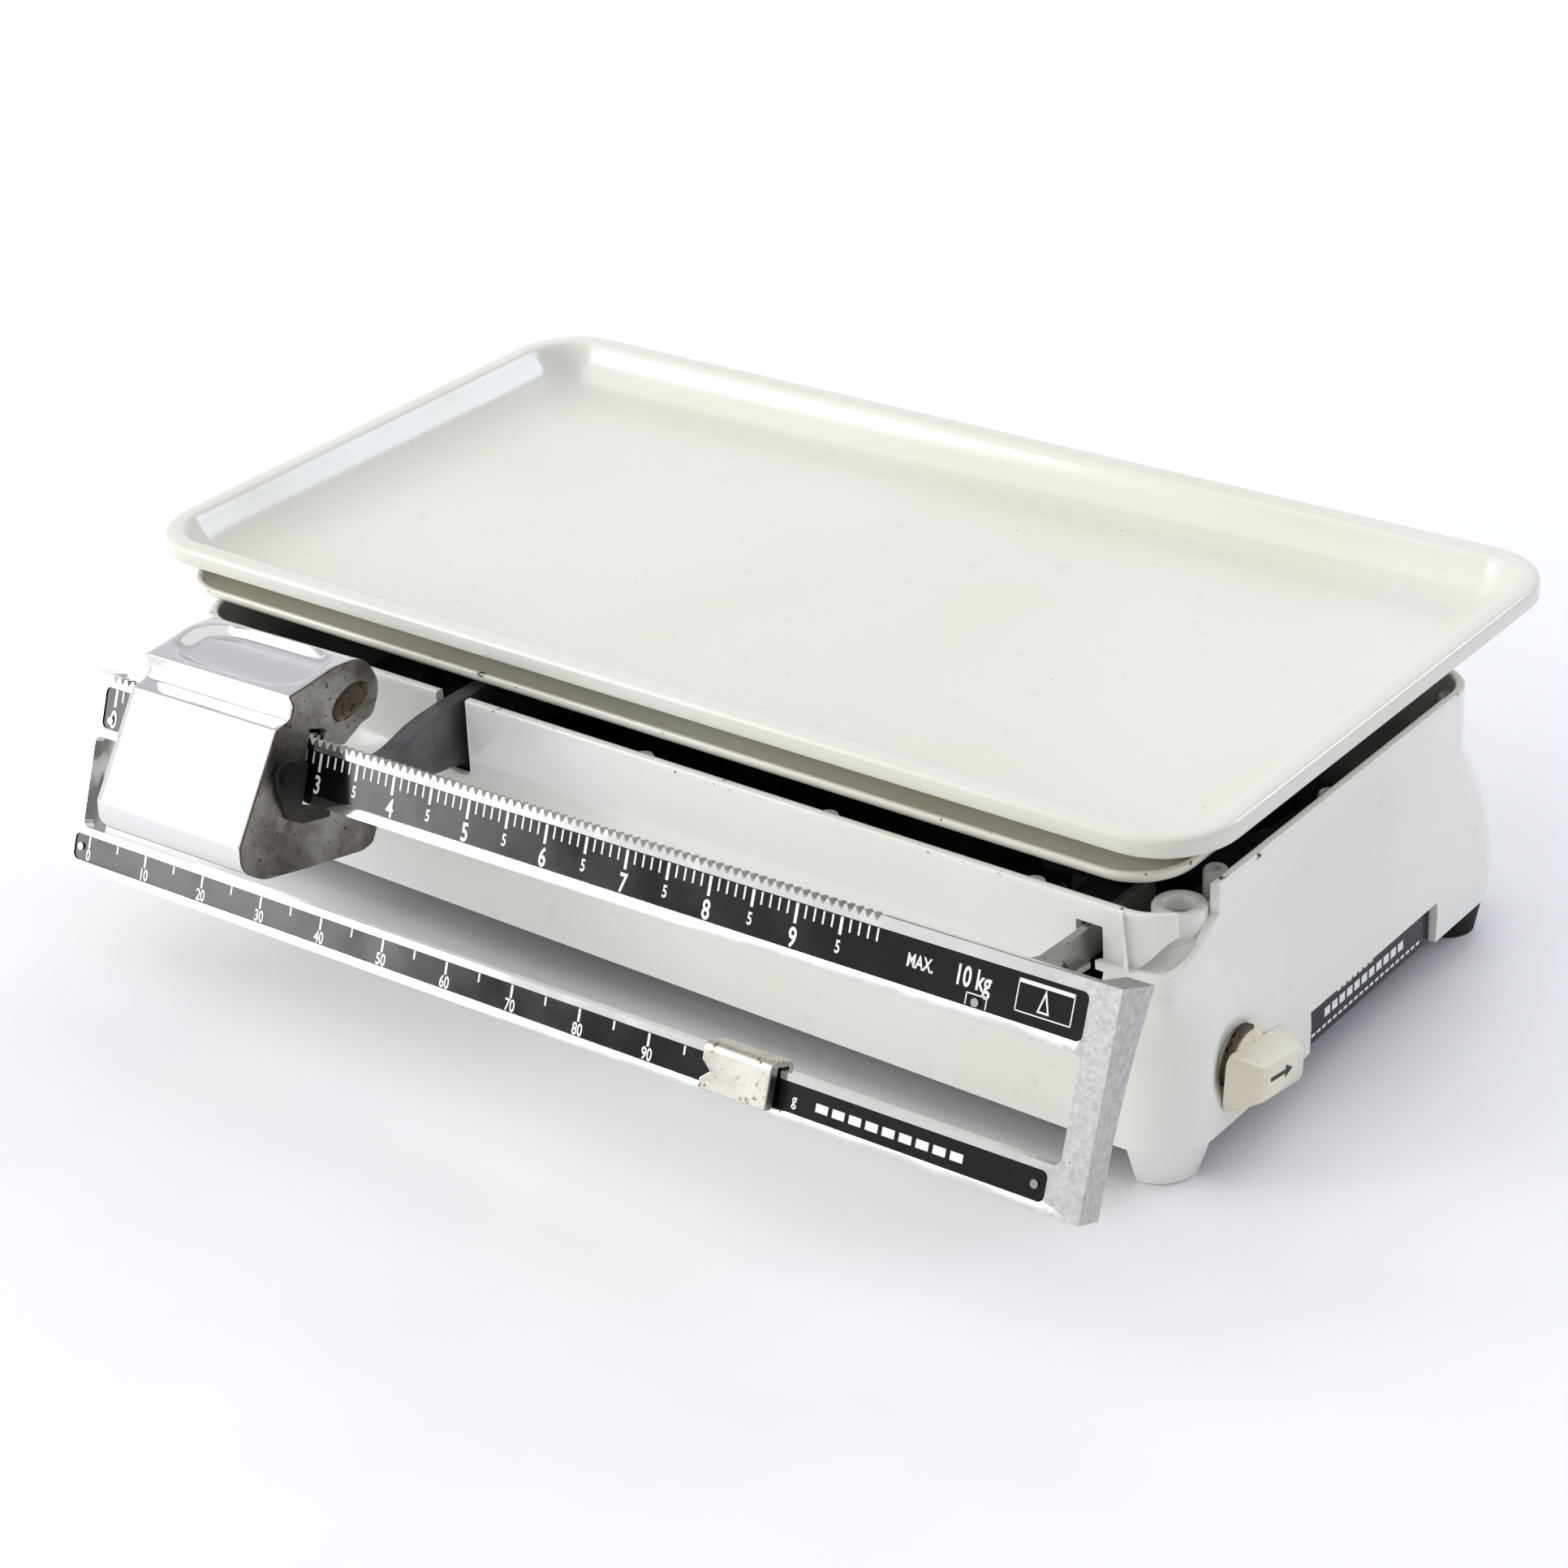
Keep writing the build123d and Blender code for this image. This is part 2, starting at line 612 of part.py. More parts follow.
# shackle body
with BuildPart() as shackle:
    with BuildSketch(Plane.YZ.offset(nose_x - 3)):
        with BuildLine():
            Polyline((-38.0, 23.0), (-22.0, 23.0), (-22.0, 63.3), (-38.0, 63.3), (-38.0, 23.0))
        make_face()
        with BuildLine():
            Polyline((-35.0, 26.7), (-25.0, 26.7), (-25.0, load_edge + seat_gap))
            Polyline((-25.0, load_edge + seat_gap), (-35.0, load_edge + seat_gap), (-35.0, 26.7))
        make_face(mode=Mode.SUBTRACT)
    extrude(amount=6.0)
finish(shackle, "shackle")

# levers
link_x = hang_x
with BuildPart() as long_lever:
    with BuildSketch(Plane.XY.offset(rail_low)):
        with Locations(((long_fulcrum + long_load) / 2, sum(rows) / 2)):
            Rectangle(yoke_width, yoke_depth)
            with GridLocations(0, rows[1] - rows[0] - 34, 1, 2):
                RectangleRounded(yoke_width - 14, 22, 4, mode=Mode.SUBTRACT)
        with Locations((long_load, long_rail_y)):
            Rectangle(long_load - nose_arm_x + 3.5, 5.5, align=(Align.MAX, Align.CENTER))
        with Locations((nose_arm_x, long_rail_y + 2.75)):
            Rectangle(7, long_rail_y + 2.75 - shackle_y + 3, align=(Align.CENTER, Align.MAX))
        with Locations((nose_arm_x, shackle_y)):
            Rectangle(nose_arm_x - nose_x + 4.5, 6, align=(Align.MAX, Align.CENTER))
    extrude(amount=rail_high - rail_low)
finish(long_lever, "long_lever")

with BuildPart() as short_lever:
    with BuildSketch(Plane.XY.offset(rail_low)):
        with Locations(((short_fulcrum + short_load) / 2, sum(rows) / 2)):
            Rectangle(yoke_width, yoke_depth)
            with GridLocations(0, rows[1] - rows[0] - 34, 1, 2):
                RectangleRounded(yoke_width - 14, 22, 4, mode=Mode.SUBTRACT)
        with Locations((short_load, short_rail_y)):
            Rectangle(link_x + 4.5 - short_load, 5.5, align=(Align.MIN, Align.CENTER))
    extrude(amount=rail_high - rail_low)
finish(short_lever, "short_lever")

knife_half = 1.2
with BuildPart() as long_knives:
    for knife_y in rows:
        with BuildSketch(Plane((long_fulcrum, knife_y, knife_down), x_dir=(1, 0, 0), z_dir=(0, -1, 0))):
            with BuildLine():
                Polyline((0, 0), (knife_half, 2.0), (-knife_half, 2.0), (0, 0))
            make_face()
        extrude(amount=5.0, both=True)
        with BuildSketch(Plane((long_load, knife_y, knife_up), x_dir=(1, 0, 0), z_dir=(0, -1, 0))):
            with BuildLine():
                Polyline((0, 0), (-knife_half, -2.0), (knife_half, -2.0), (0, 0))
            make_face()
        extrude(amount=5.0, both=True)
    with BuildSketch(Plane((link_x, long_rail_y, knife_up), x_dir=(1, 0, 0), z_dir=(0, -1, 0))):
        with BuildLine():
            Polyline((0, 0), (-knife_half, -2.0), (knife_half, -2.0), (0, 0))
        make_face()
    extrude(amount=2.7, both=True)
    with BuildSketch(Plane((nose_x, shackle_y, knife_down), x_dir=(1, 0, 0), z_dir=(0, -1, 0))):
        with BuildLine():
            Polyline((0, 0), (knife_half, 2.0), (-knife_half, 2.0), (0, 0))
        make_face()
    extrude(amount=3.0, both=True)
finish(long_knives, "long_knives")

with BuildPart() as short_knives:
    for knife_y in rows:
        with BuildSketch(Plane((short_fulcrum, knife_y, knife_down), x_dir=(1, 0, 0), z_dir=(0, -1, 0))):
            with BuildLine():
                Polyline((0, 0), (knife_half, 2.0), (-knife_half, 2.0), (0, 0))
            make_face()
        extrude(amount=5.0, both=True)
        with BuildSketch(Plane((short_load, knife_y, knife_up), x_dir=(1, 0, 0), z_dir=(0, -1, 0))):
            with BuildLine():
                Polyline((0, 0), (-knife_half, -2.0), (knife_half, -2.0), (0, 0))
            make_face()
        extrude(amount=5.0, both=True)
    with BuildSketch(Plane((link_x, short_rail_y, knife_down), x_dir=(1, 0, 0), z_dir=(0, -1, 0))):
        with BuildLine():
            Polyline((0, 0), (knife_half, 2.0), (-knife_half, 2.0), (0, 0))
        make_face()
    extrude(amount=2.7, both=True)
finish(short_knives, "short_knives")

# stirrup that hangs the short lever from the long one
with BuildPart() as lever_link:
    with BuildSketch(Plane.YZ.offset(link_x - 3)):
        with Locations(((long_rail_y + short_rail_y) / 2, (knife_down + knife_up) / 2)):
            Rectangle(23.0, knife_up - knife_down + 7.0)
            Rectangle(17.5, knife_up - knife_down + 2 * seat_gap, mode=Mode.SUBTRACT)
    extrude(amount=6.0)
finish(lever_link, "lever_link")

# carrier body
pan_floor = 72.4
pan_sheet = 1.2
with BuildPart() as carrier_pan:
    with BuildSketch(tray_plane.offset(pan_floor)):
        RectangleRounded(pan_length - 5, pan_depth - 5, pan_corner - 2)
    with BuildSketch(tray_plane.offset(pan_high)):
        RectangleRounded(pan_length, pan_depth, pan_corner)
    loft()
    with BuildSketch(tray_plane.offset(pan_floor + pan_sheet)):
        RectangleRounded(pan_length - 7, pan_depth - 7, pan_corner - 3)
    with BuildSketch(tray_plane.offset(pan_high)):
        RectangleRounded(pan_length - 3, pan_depth - 3, pan_corner - 1.5)
    loft(mode=Mode.SUBTRACT)
finish(carrier_pan, "carrier_pan")

post_spots = [(x, y) for x in (short_load, long_load) for y in rows]
with BuildPart() as carrier_posts:
    for spot in post_spots:
        with BuildSketch(Plane((*spot, 41.0))):
            Rectangle(9, 9)
        extrude(amount=pan_floor - 41.0)
        with BuildSketch(Plane((*spot, pan_floor - 2))):
            Rectangle(18, 14)
        extrude(amount=2.0)
finish(carrier_posts, "carrier_posts")

with BuildPart() as post_bearings:
    for spot in post_spots:
        with BuildSketch(Plane((*spot, knife_up + seat_gap), x_dir=(1, 0, 0), z_dir=(0, -1, 0))):
            with BuildLine():
                Polyline(*[(-u, -v) for u, v in seat_line(7.0, 3.7, 1.6)])
            make_face()
        extrude(amount=3.5, both=True)
finish(post_bearings, "post_bearings")

pad_high = 0.7
with BuildPart() as seat_pads:
    with BuildSketch(tray_plane.offset(pan_floor + pan_sheet)):
        with GridLocations(pan_length - 60, pan_depth - 50, 2, 2):
            Circle(6.0)
    extrude(amount=pad_high)
finish(seat_pads, "seat_pads")

# tray body
tray_under = pan_floor + pan_sheet + pad_high
# height, inset from the rim's edge and corner radius of each turn of the wall
tray_walls = [
    (tray_top, 5.6, 15.5),
    (tray_under + 5.3, 6.6, 15.0),
    (tray_under + 2.9, 9.6, 13.5),
    (tray_under + 1.9, 13.8, 11.5),
    (tray_under, 16.0, 10.0),
]
tray_hollow = [
    (tray_top, 7.0, 14.1),
    (tray_under + 5.9, 8.0, 13.6),
    (tray_under + 4.0, 11.0, 12.1),
    (tray_under + tray_sheet, 17.4, 8.6),
]
with BuildPart() as tray:
    with BuildSketch(tray_plane.offset(tray_top - tray_skirt)):
        RectangleRounded(tray_length, tray_depth, tray_corner)
    extrude(amount=tray_skirt)
    with BuildSketch(tray_plane.offset(tray_top - tray_skirt)):
        RectangleRounded(tray_length - 2 * tray_sheet, tray_depth - 2 * tray_sheet, tray_corner - tray_sheet)
    extrude(amount=tray_skirt - tray_sheet, mode=Mode.SUBTRACT)
    for height, inset, corner in tray_walls:
        with BuildSketch(tray_plane.offset(height)):
            RectangleRounded(tray_length - 2 * inset, tray_depth - 2 * inset, corner)
    loft(ruled=True)
    for height, inset, corner in tray_hollow:
        with BuildSketch(tray_plane.offset(height)):
            RectangleRounded(tray_length - 2 * inset, tray_depth - 2 * inset, corner)
    loft(ruled=True, mode=Mode.SUBTRACT)
finish(tray, "tray")
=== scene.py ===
import json
from math import radians
import bmesh
import bpy
import numpy as np
from mathutils import Matrix, Vector
from mathutils.geometry import tessellate_polygon


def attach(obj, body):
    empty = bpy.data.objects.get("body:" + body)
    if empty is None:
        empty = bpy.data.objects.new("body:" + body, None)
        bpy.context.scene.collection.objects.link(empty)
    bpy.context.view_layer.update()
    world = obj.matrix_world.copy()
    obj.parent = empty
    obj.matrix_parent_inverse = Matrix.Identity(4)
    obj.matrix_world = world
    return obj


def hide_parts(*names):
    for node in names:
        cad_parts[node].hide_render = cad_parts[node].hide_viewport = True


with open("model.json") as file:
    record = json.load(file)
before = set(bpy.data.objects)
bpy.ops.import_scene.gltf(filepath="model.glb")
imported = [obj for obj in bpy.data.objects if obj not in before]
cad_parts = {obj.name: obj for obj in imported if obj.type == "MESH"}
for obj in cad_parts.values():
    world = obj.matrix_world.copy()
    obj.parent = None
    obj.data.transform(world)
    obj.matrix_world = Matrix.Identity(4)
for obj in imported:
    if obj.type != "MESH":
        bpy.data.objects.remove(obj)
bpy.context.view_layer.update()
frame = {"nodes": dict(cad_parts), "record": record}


# small helpers for meshes
def gridQuads(rows, columns, closeRows=False, closeColumns=False):
    # quads of a rows x columns grid of points, wrapping round where asked
    index = np.arange(rows * columns).reshape(rows, columns)
    if closeRows:
        index = np.vstack([index, index[:1]])
    if closeColumns:
        index = np.hstack([index, index[:, :1]])
    quads = np.stack([index[:-1, :-1], index[:-1, 1:], index[1:, 1:], index[1:, :-1]], axis=-1)
    return quads.reshape(-1, 4)


def makePiece(name, points, faces, material, body, replaces=(), sharp=38, closed=True):
    # points in mm; on a closed shell the faces are turned outwards by the sign of its volume
    mesh = bpy.data.meshes.new(name)
    points = np.asarray(points, float).reshape(-1, 3) * 0.001
    faces = [list(map(int, face)) for face in faces]
    mesh.from_pydata(points.tolist(), [], faces)
    work = bmesh.new()
    work.from_mesh(mesh)
    bmesh.ops.remove_doubles(work, verts=work.verts, dist=2e-6)
    bmesh.ops.dissolve_degenerate(work, edges=work.edges, dist=1e-6)
    if closed and work.calc_volume(signed=True) < 0:
        bmesh.ops.reverse_faces(work, faces=work.faces)
    work.to_mesh(mesh)
    work.free()
    piece = bpy.data.objects.new(name, mesh)
    bpy.context.scene.collection.objects.link(piece)
    dress(piece, material, body, replaces, sharp)
    return piece


def dress(piece, material, body, replaces=(), sharp=38):
    mesh = piece.data
    mesh.materials.clear()
    mesh.materials.append(material)
    mesh.polygons.foreach_set("use_smooth", np.ones(len(mesh.polygons), bool))
    mesh.set_sharp_from_angle(angle=radians(sharp))
    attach(piece, body)
    if replaces:
        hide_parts(*replaces)


def turnOutwards(piece):
    # for a shell with openings: each face is turned to agree with its neighbours
    work = bmesh.new()
    work.from_mesh(piece.data)
    bmesh.ops.recalc_face_normals(work, faces=work.faces)
    work.to_mesh(piece.data)
    work.free()


def softCopy(node, name, width, material, body, sharp=30, segments=3):
    # a copy of a machined or cast part, merged, with its edges broken by a small bevel
    mesh = frame["nodes"][node].data.copy()
    work = bmesh.new()
    work.from_mesh(mesh)
    bmesh.ops.remove_doubles(work, verts=work.verts, dist=2e-6)
    bmesh.ops.dissolve_limit(work, angle_limit=radians(1.0), verts=work.verts, edges=work.edges)
    work.to_mesh(mesh)
    work.free()
    mesh.name = name
    piece = bpy.data.objects.new(name, mesh)
    bpy.context.scene.collection.objects.link(piece)
    dress(piece, material, body, (node,), 30)
    bevel = piece.modifiers.new("edges", "BEVEL")
    bevel.width = width * 0.001
    bevel.segments = segments
    bevel.limit_method = "ANGLE"
    bevel.angle_limit = radians(sharp)
    bevel.harden_normals = True
    return piece


def roundedRing(halfLength, halfDepth, radius, cornerSteps=12, sideSteps=8):
    # rounded rectangle: four arcs joined by evenly divided sides, always the same number of points
    angle = np.linspace(0, np.pi / 2, cornerSteps + 1)
    parts = []
    for quarter in range(4):
        turn = quarter * np.pi / 2
        signX = 1 if quarter in (0, 3) else -1
        signY = 1 if quarter in (0, 1) else -1
        centre = np.array([signX * (halfLength - radius), signY * (halfDepth - radius)])
        arc = centre + radius * np.stack([np.cos(angle + turn), np.sin(angle + turn)], axis=1)
        parts.append(arc)
    ring = []
    for quarter in range(4):
        ring.append(parts[quarter])
        start, end = parts[quarter][-1], parts[(quarter + 1) % 4][0]
        step = np.linspace(0, 1, sideSteps + 1)[1:-1, None]
        ring.append(start + (end - start) * step)
    return np.vstack(ring)


def ringShell(profile, length, depth, radius, centre, minimum=6.0):
    # profile rows are (inset, height): each one is a rounded rectangle that far inside the outline
    rings = []
    for inset, height in profile:
        ring = roundedRing(length / 2 - inset, depth / 2 - inset, max(radius - inset, minimum))
        rings.append(np.column_stack([ring + centre, np.full(len(ring), height)]))
    points = np.array(rings)
    count, around = points.shape[:2]
    faces = gridQuads(count, around, closeColumns=True).tolist()
    faces += [list(range(around)), list(range((count - 1) * around, count * around))]
    return points, faces


def lathe(profile, origin, axis="z", around=40):
    # profile rows are (radius, height), turned about an axis through origin
    profile = np.asarray(profile, float)
    angle = np.linspace(0, 2 * np.pi, around, endpoint=False)
    a = profile[:, :1] * np.cos(angle)
    b = profile[:, :1] * np.sin(angle)
    c = np.repeat(profile[:, 1:], around, axis=1)
    order = {"z": (a, b, c), "x": (c, a, b), "y": (b, c, a)}[axis]
    points = np.stack(order, axis=-1) + np.asarray(origin, float)
    count = len(profile)
    faces = gridQuads(count, around, closeColumns=True).tolist()
    faces += [list(range(around)), list(range((count - 1) * around, count * around))]
    return points, faces


def filletLine(corners, steps=6):
    # closed or open outline of (x, y, radius): every corner is replaced by an arc of its radius
    corners = [np.array(c, float) for c in corners]
    line = []
    total = len(corners)
    for i, corner in enumerate(corners):
        point, radius = corner[:2], corner[2]
        before = corners[i - 1][:2] - point
        after = corners[(i + 1) % total][:2] - point
        lengthA, lengthB = np.linalg.norm(before), np.linalg.norm(after)
        if radius <= 0:
            line.append(point[None])
            continue
        before, after = before / lengthA, after / lengthB
        half = np.arccos(np.clip(before @ after, -1, 1)) / 2
        reach = min(radius / np.tan(half), 0.48 * lengthA, 0.48 * lengthB)
        radius = reach * np.tan(half)
        middle = before + after
        centre = point + middle / np.linalg.norm(middle) * radius / np.sin(half)
        start, end = point + before * reach - centre, point + after * reach - centre
        angleA, angleB = np.arctan2(start[1], start[0]), np.arctan2(end[1], end[0])
        sweep = (angleB - angleA + np.pi) % (2 * np.pi) - np.pi
        angle = angleA + sweep * np.linspace(0, 1, steps + 1)
        line.append(centre + radius * np.stack([np.cos(angle), np.sin(angle)], axis=1))
    return np.vstack(line)


def smoothStep(value):
    value = np.clip(value, 0, 1)
    return value * value * (3 - 2 * value)


# materials
def toLinear(text):
    # sRGB hex to the linear values Blender's colours use
    value = np.array([int(text[i:i + 2], 16) for i in (1, 3, 5)]) / 255
    value = np.where(value <= 0.04045, value / 12.92, ((value + 0.055) / 1.055) ** 2.4)
    return (*value.tolist(), 1.0)


def feed(tree, socket, value):
    # a socket takes a plain value or the output of another node
    if isinstance(value, bpy.types.NodeSocket):
        tree.links.new(value, socket)
    else:
        socket.default_value = value


def addNode(tree, kind, settings=None, **inputs):
    # adds one node with its settings and inputs; i0, i1 and so on name an input by its number
    node = tree.nodes.new(kind)
    for key, value in (settings or {}).items():
        setattr(node, key, value)
    for key, value in inputs.items():
        wanted = key.replace("_", " ")
        numbered = key[0] == "i" and key[1:].isdigit()
        feed(tree, node.inputs[int(key[1:])] if numbered else node.inputs[wanted], value)
    return node


def ramp(tree, factor, stops):
    node = addNode(tree, "ShaderNodeValToRGB", Fac=factor)
    elements = node.color_ramp.elements
    while len(elements) < len(stops):
        elements.new(0.5)
    for element, (place, colour) in zip(elements, stops):
        element.position = place
        element.color = colour if isinstance(colour, tuple) else (colour, colour, colour, 1)
    return node.outputs["Color"]


def newMaterial(name, slot):
    material = bpy.data.materials.new(name)
    material.use_nodes = True
    material["slot"] = slot
    tree = material.node_tree
    tree.nodes.clear()
    surface = addNode(tree, "ShaderNodeBsdfPrincipled")
    addNode(tree, "ShaderNodeOutputMaterial", Surface=surface.outputs["BSDF"])
    place = addNode(tree, "ShaderNodeTexCoord").outputs["Object"]
    return material, tree, surface, place


def noise(tree, place, sizeMm, detail=3.0, rough=0.5, stretch=(1, 1, 1)):
    # noise whose features are about sizeMm across
    mapping = addNode(tree, "ShaderNodeMapping", Vector=place, Scale=stretch)
    return addNode(
        tree, "ShaderNodeTexNoise", Vector=mapping.outputs["Vector"],
        Scale=1000.0 / sizeMm, Detail=detail, Roughness=rough,
    ).outputs["Fac"]


def mixColour(tree, factor, first, second):
    return addNode(tree, "ShaderNodeMix", {"data_type": "RGBA"}, i0=factor, i6=first, i7=second).outputs[2]


def connect(tree, surface, **inputs):
    for key, value in inputs.items():
        feed(tree, surface.inputs[key.replace("_", " ")], value)


def bumpOf(tree, height, strength, distanceMm):
    return addNode(
        tree, "ShaderNodeBump", Height=height, Strength=strength, Distance=distanceMm * 0.001,
    ).outputs["Normal"]


def multiply(tree, first, second):
    return addNode(tree, "ShaderNodeMath", {"operation": "MULTIPLY"}, i0=first, i1=second).outputs[0]


def fade(tree, value, start, end):
    # climbs from 0 where the value is at start to 1 where it is at end
    return addNode(tree, "ShaderNodeMapRange", Value=value, i1=start, i2=end).outputs[0]


def stovedEnamel(name, slot, paint, paintWarm, chip, chipBand=None):
    # sprayed and stoved enamel on sheet steel: a hard gloss film with faint orange peel,
    # slightly uneven yellowing and small chips down to dark steel where things knock
    material, tree, surface, place = newMaterial(name, slot)
    yellowing = ramp(tree, noise(tree, place, 90, 2), [(0.35, 0.0), (0.7, 1.0)])
    colour = mixColour(tree, yellowing, toLinear(paint), toLinear(paintWarm))
    grime = ramp(tree, noise(tree, place, 7, 5, 0.65), [(0.62, 0.0), (0.78, 0.22)])
    colour = mixColour(tree, grime, colour, toLinear("#B9B29C"))
    peel = noise(tree, place, 2.6, 2)  # orange peel is about 2-3 mm across
    rough = ramp(tree, noise(tree, place, 22, 4), [(0.3, 0.16), (0.7, 0.26)])
    if chipBand:
        # chips gather in a band of heights along an exposed edge
        low, high = chipBand
        height = addNode(tree, "ShaderNodeSeparateXYZ", Vector=place).outputs["Z"]
        above = fade(tree, height, (low - 0.5) / 1000, low / 1000)
        below = fade(tree, height, (high + 0.5) / 1000, high / 1000)
        band = multiply(tree, above, below)
        spots = ramp(tree, noise(tree, place, 5.0, 6, 0.7), [(0.625, 0.0), (0.645, 1.0)])
        chips = multiply(tree, band, spots)
        colour = mixColour(tree, chips, colour, toLinear(chip))
        rough = mixColour(tree, chips, rough, (0.75, 0.75, 0.75, 1))
    specks = ramp(tree, noise(tree, place, 2.2, 3, 0.6), [(0.765, 0.0), (0.78, 1.0)])
    colour = mixColour(tree, specks, colour, toLinear(chip))
    connect(tree, surface, Base_Color=colour, Roughness=rough, Normal=bumpOf(tree, peel, 0.12, 0.05))
    surface.inputs["IOR"].default_value = 1.52
    surface.inputs["Coat Weight"].default_value = 0.35
    surface.inputs["Coat Roughness"].default_value = 0.08
    return material


creamEnamel = stovedEnamel("cream_stoved_enamel", "cream_enamel", "#E4E4DB", "#E1DFD1", "#54483A")
carrierEnamel = stovedEnamel(
    "carrier_stoved_enamel", "white_lacquer", "#ECEADF", "#E5E1CF", "#33291F", (75.9, 76.9),
)
whiteLacquer = stovedEnamel(
    "white_sprayed_lacquer", "white_lacquer", "#F1F1ED", "#ECEAE0", "#4A4036", (69.9, 71.2),
)


def platedCasting(
    name, slot, colourHex, roughLow, roughHigh, pits, pitHex, streak=(1, 1, 1), stain=None, wornFrom=None,
):
    # nickel and chrome on a polished casting: a mirror with fine pits, faint polishing lines and haze
    material, tree, surface, place = newMaterial(name, slot)
    haze = ramp(tree, noise(tree, place, 18, 4, 0.6), [(0.35, roughLow), (0.7, roughHigh)])
    lines = noise(tree, place, 1.2, 2, 0.5, streak)
    spots = ramp(tree, noise(tree, place, 1.5, 4, 0.7), [(pits, 0.0), (pits + 0.03, 1.0)])
    colour = toLinear(colourHex)
    if stain:
        patches = ramp(tree, noise(tree, place, 17, 4, 0.6), [(0.4, 0.0), (0.62, 1.0)])
        colour = mixColour(tree, patches, colour, toLinear(stain))
    if wornFrom:
        # handled end of the beam: plating dulled to a blotchy grey
        across = addNode(tree, "ShaderNodeSeparateXYZ", Vector=place).outputs["X"]
        worn = fade(tree, across, wornFrom / 1000, (wornFrom + 14) / 1000)
        greys = [(0.3, toLinear("#A6A5A3")), (0.7, toLinear("#CBCBC9"))]
        blotch = ramp(tree, noise(tree, place, 1.5, 4, 0.7), greys)
        colour = mixColour(tree, worn, colour, blotch)
        haze = mixColour(tree, worn, haze, (0.36, 0.36, 0.36, 1))
    colour = mixColour(tree, spots, colour, toLinear(pitHex))
    rough = mixColour(tree, spots, haze, (0.6, 0.6, 0.6, 1))
    relief = bumpOf(tree, lines, 0.06, 0.02)
    connect(tree, surface, Base_Color=colour, Roughness=rough, Metallic=1.0, Normal=relief)
    return material


chromePlate = platedCasting(
    "chrome_on_polished_casting", "chromed_casting", "#E9E9E8", 0.07, 0.17, 0.70, "#7C776E", (1, 8, 8),
)
wornChrome = platedCasting(
    "chrome_worn_at_one_end", "chromed_casting", "#E4E4E3", 0.07, 0.17, 0.68, "#6F6A62", (1, 8, 8),
    wornFrom=152.0,
)
groundFace = platedCasting(
    "ground_zinc_casting", "chromed_casting", "#A5A39E", 0.26, 0.4, 0.62, "#4A3A2C", (8, 8, 0.6), "#6A655E",
)
wornNickel = platedCasting("worn_nickel_on_brass_strip", "nickel_plate", "#C4C1B8", 0.2, 0.4, 0.6, "#8B7A5E")
rustedRecess = platedCasting(
    "rusted_zinc_casting", "chromed_casting", "#655A50", 0.45, 0.65, 0.56, "#3E2A1E",
)
zincSheet = platedCasting("zinc_plated_pressing", "zinc_plate", "#A8A8A4", 0.3, 0.5, 0.62, "#6C6A62")
groundSteel = platedCasting(
    "ground_tool_steel", "bright_steel", "#9B9C9C", 0.22, 0.36, 0.68, "#5A5044", (10, 1, 1),
)


def darkMetal(name, slot, low, high, roughness, metal):
    # sand-cast grey iron or a dark dipped coat: dull, grainy, lighter where handled
    material, tree, surface, place = newMaterial(name, slot)
    grain = noise(tree, place, 1.4, 5, 0.65)
    colour = ramp(tree, noise(tree, place, 9, 4), [(0.3, toLinear(low)), (0.75, toLinear(high))])
    rust = ramp(tree, noise(tree, place, 6, 5, 0.7), [(0.66, 0.0), (0.74, 0.7)])
    colour = mixColour(tree, rust, colour, toLinear("#6A452B"))
    relief = bumpOf(tree, grain, 0.35, 0.12)
    connect(tree, surface, Base_Color=colour, Roughness=roughness, Metallic=metal, Normal=relief)
    return material


castGrey = darkMetal("sand_cast_grey_iron", "dark_casting", "#55565A", "#7C7D7F", 0.5, 0.75)
dippedSteel = darkMetal("dipped_dark_steel", "dark_steel", "#2A2826", "#45413C", 0.45, 0.6)


def glossStrip(name, slot, tone, speck):
    # black stoved enamel on an aluminium strip: deep gloss, dust and fine scratches
    material, tree, surface, place = newMaterial(name, slot)
    dust = ramp(tree, noise(tree, place, 1.1, 4, 0.7), [(0.7, 0.0), (0.76, 1.0)])
    colour = mixColour(tree, dust, toLinear(tone), toLinear(speck))
    rough = ramp(tree, noise(tree, place, 14, 4), [(0.35, 0.1), (0.7, 0.22)])
    connect(tree, surface, Base_Color=colour, Roughness=rough)
    surface.inputs["IOR"].default_value = 1.36
    return material


blackEnamel = glossStrip("black_enamelled_strip", "black_enamel", "#0C0C0D", "#3E3C38")
navyEnamel = glossStrip("navy_enamelled_label", "navy_plate", "#141926", "#3B4252")
screenInk = glossStrip("white_screen_ink", "black_enamel", "#F2F2EE", "#C9C7C0")


def mouldedIvory():
    # compression-moulded urea plastic, once white, yellowed by light: soft gloss, faint flow marks
    material, tree, surface, place = newMaterial("moulded_ivory_urea", "ivory_plastic")
    flow = ramp(tree, noise(tree, place, 14, 3), [(0.3, toLinear("#EFEBDA")), (0.75, toLinear("#E2D8BB"))])
    grime = ramp(tree, noise(tree, place, 3.5, 5, 0.7), [(0.62, 0.0), (0.72, 0.45)])
    colour = mixColour(tree, grime, flow, toLinear("#8E7F62"))
    relief = bumpOf(tree, noise(tree, place, 1.6, 3), 0.15, 0.05)
    connect(tree, surface, Base_Color=colour, Roughness=0.3, Normal=relief)
    surface.inputs["IOR"].default_value = 1.54
    surface.inputs["Subsurface Weight"].default_value = 0.08
    surface.inputs["Subsurface Scale"].default_value = 0.002
    return material


ivoryPlastic = mouldedIvory()


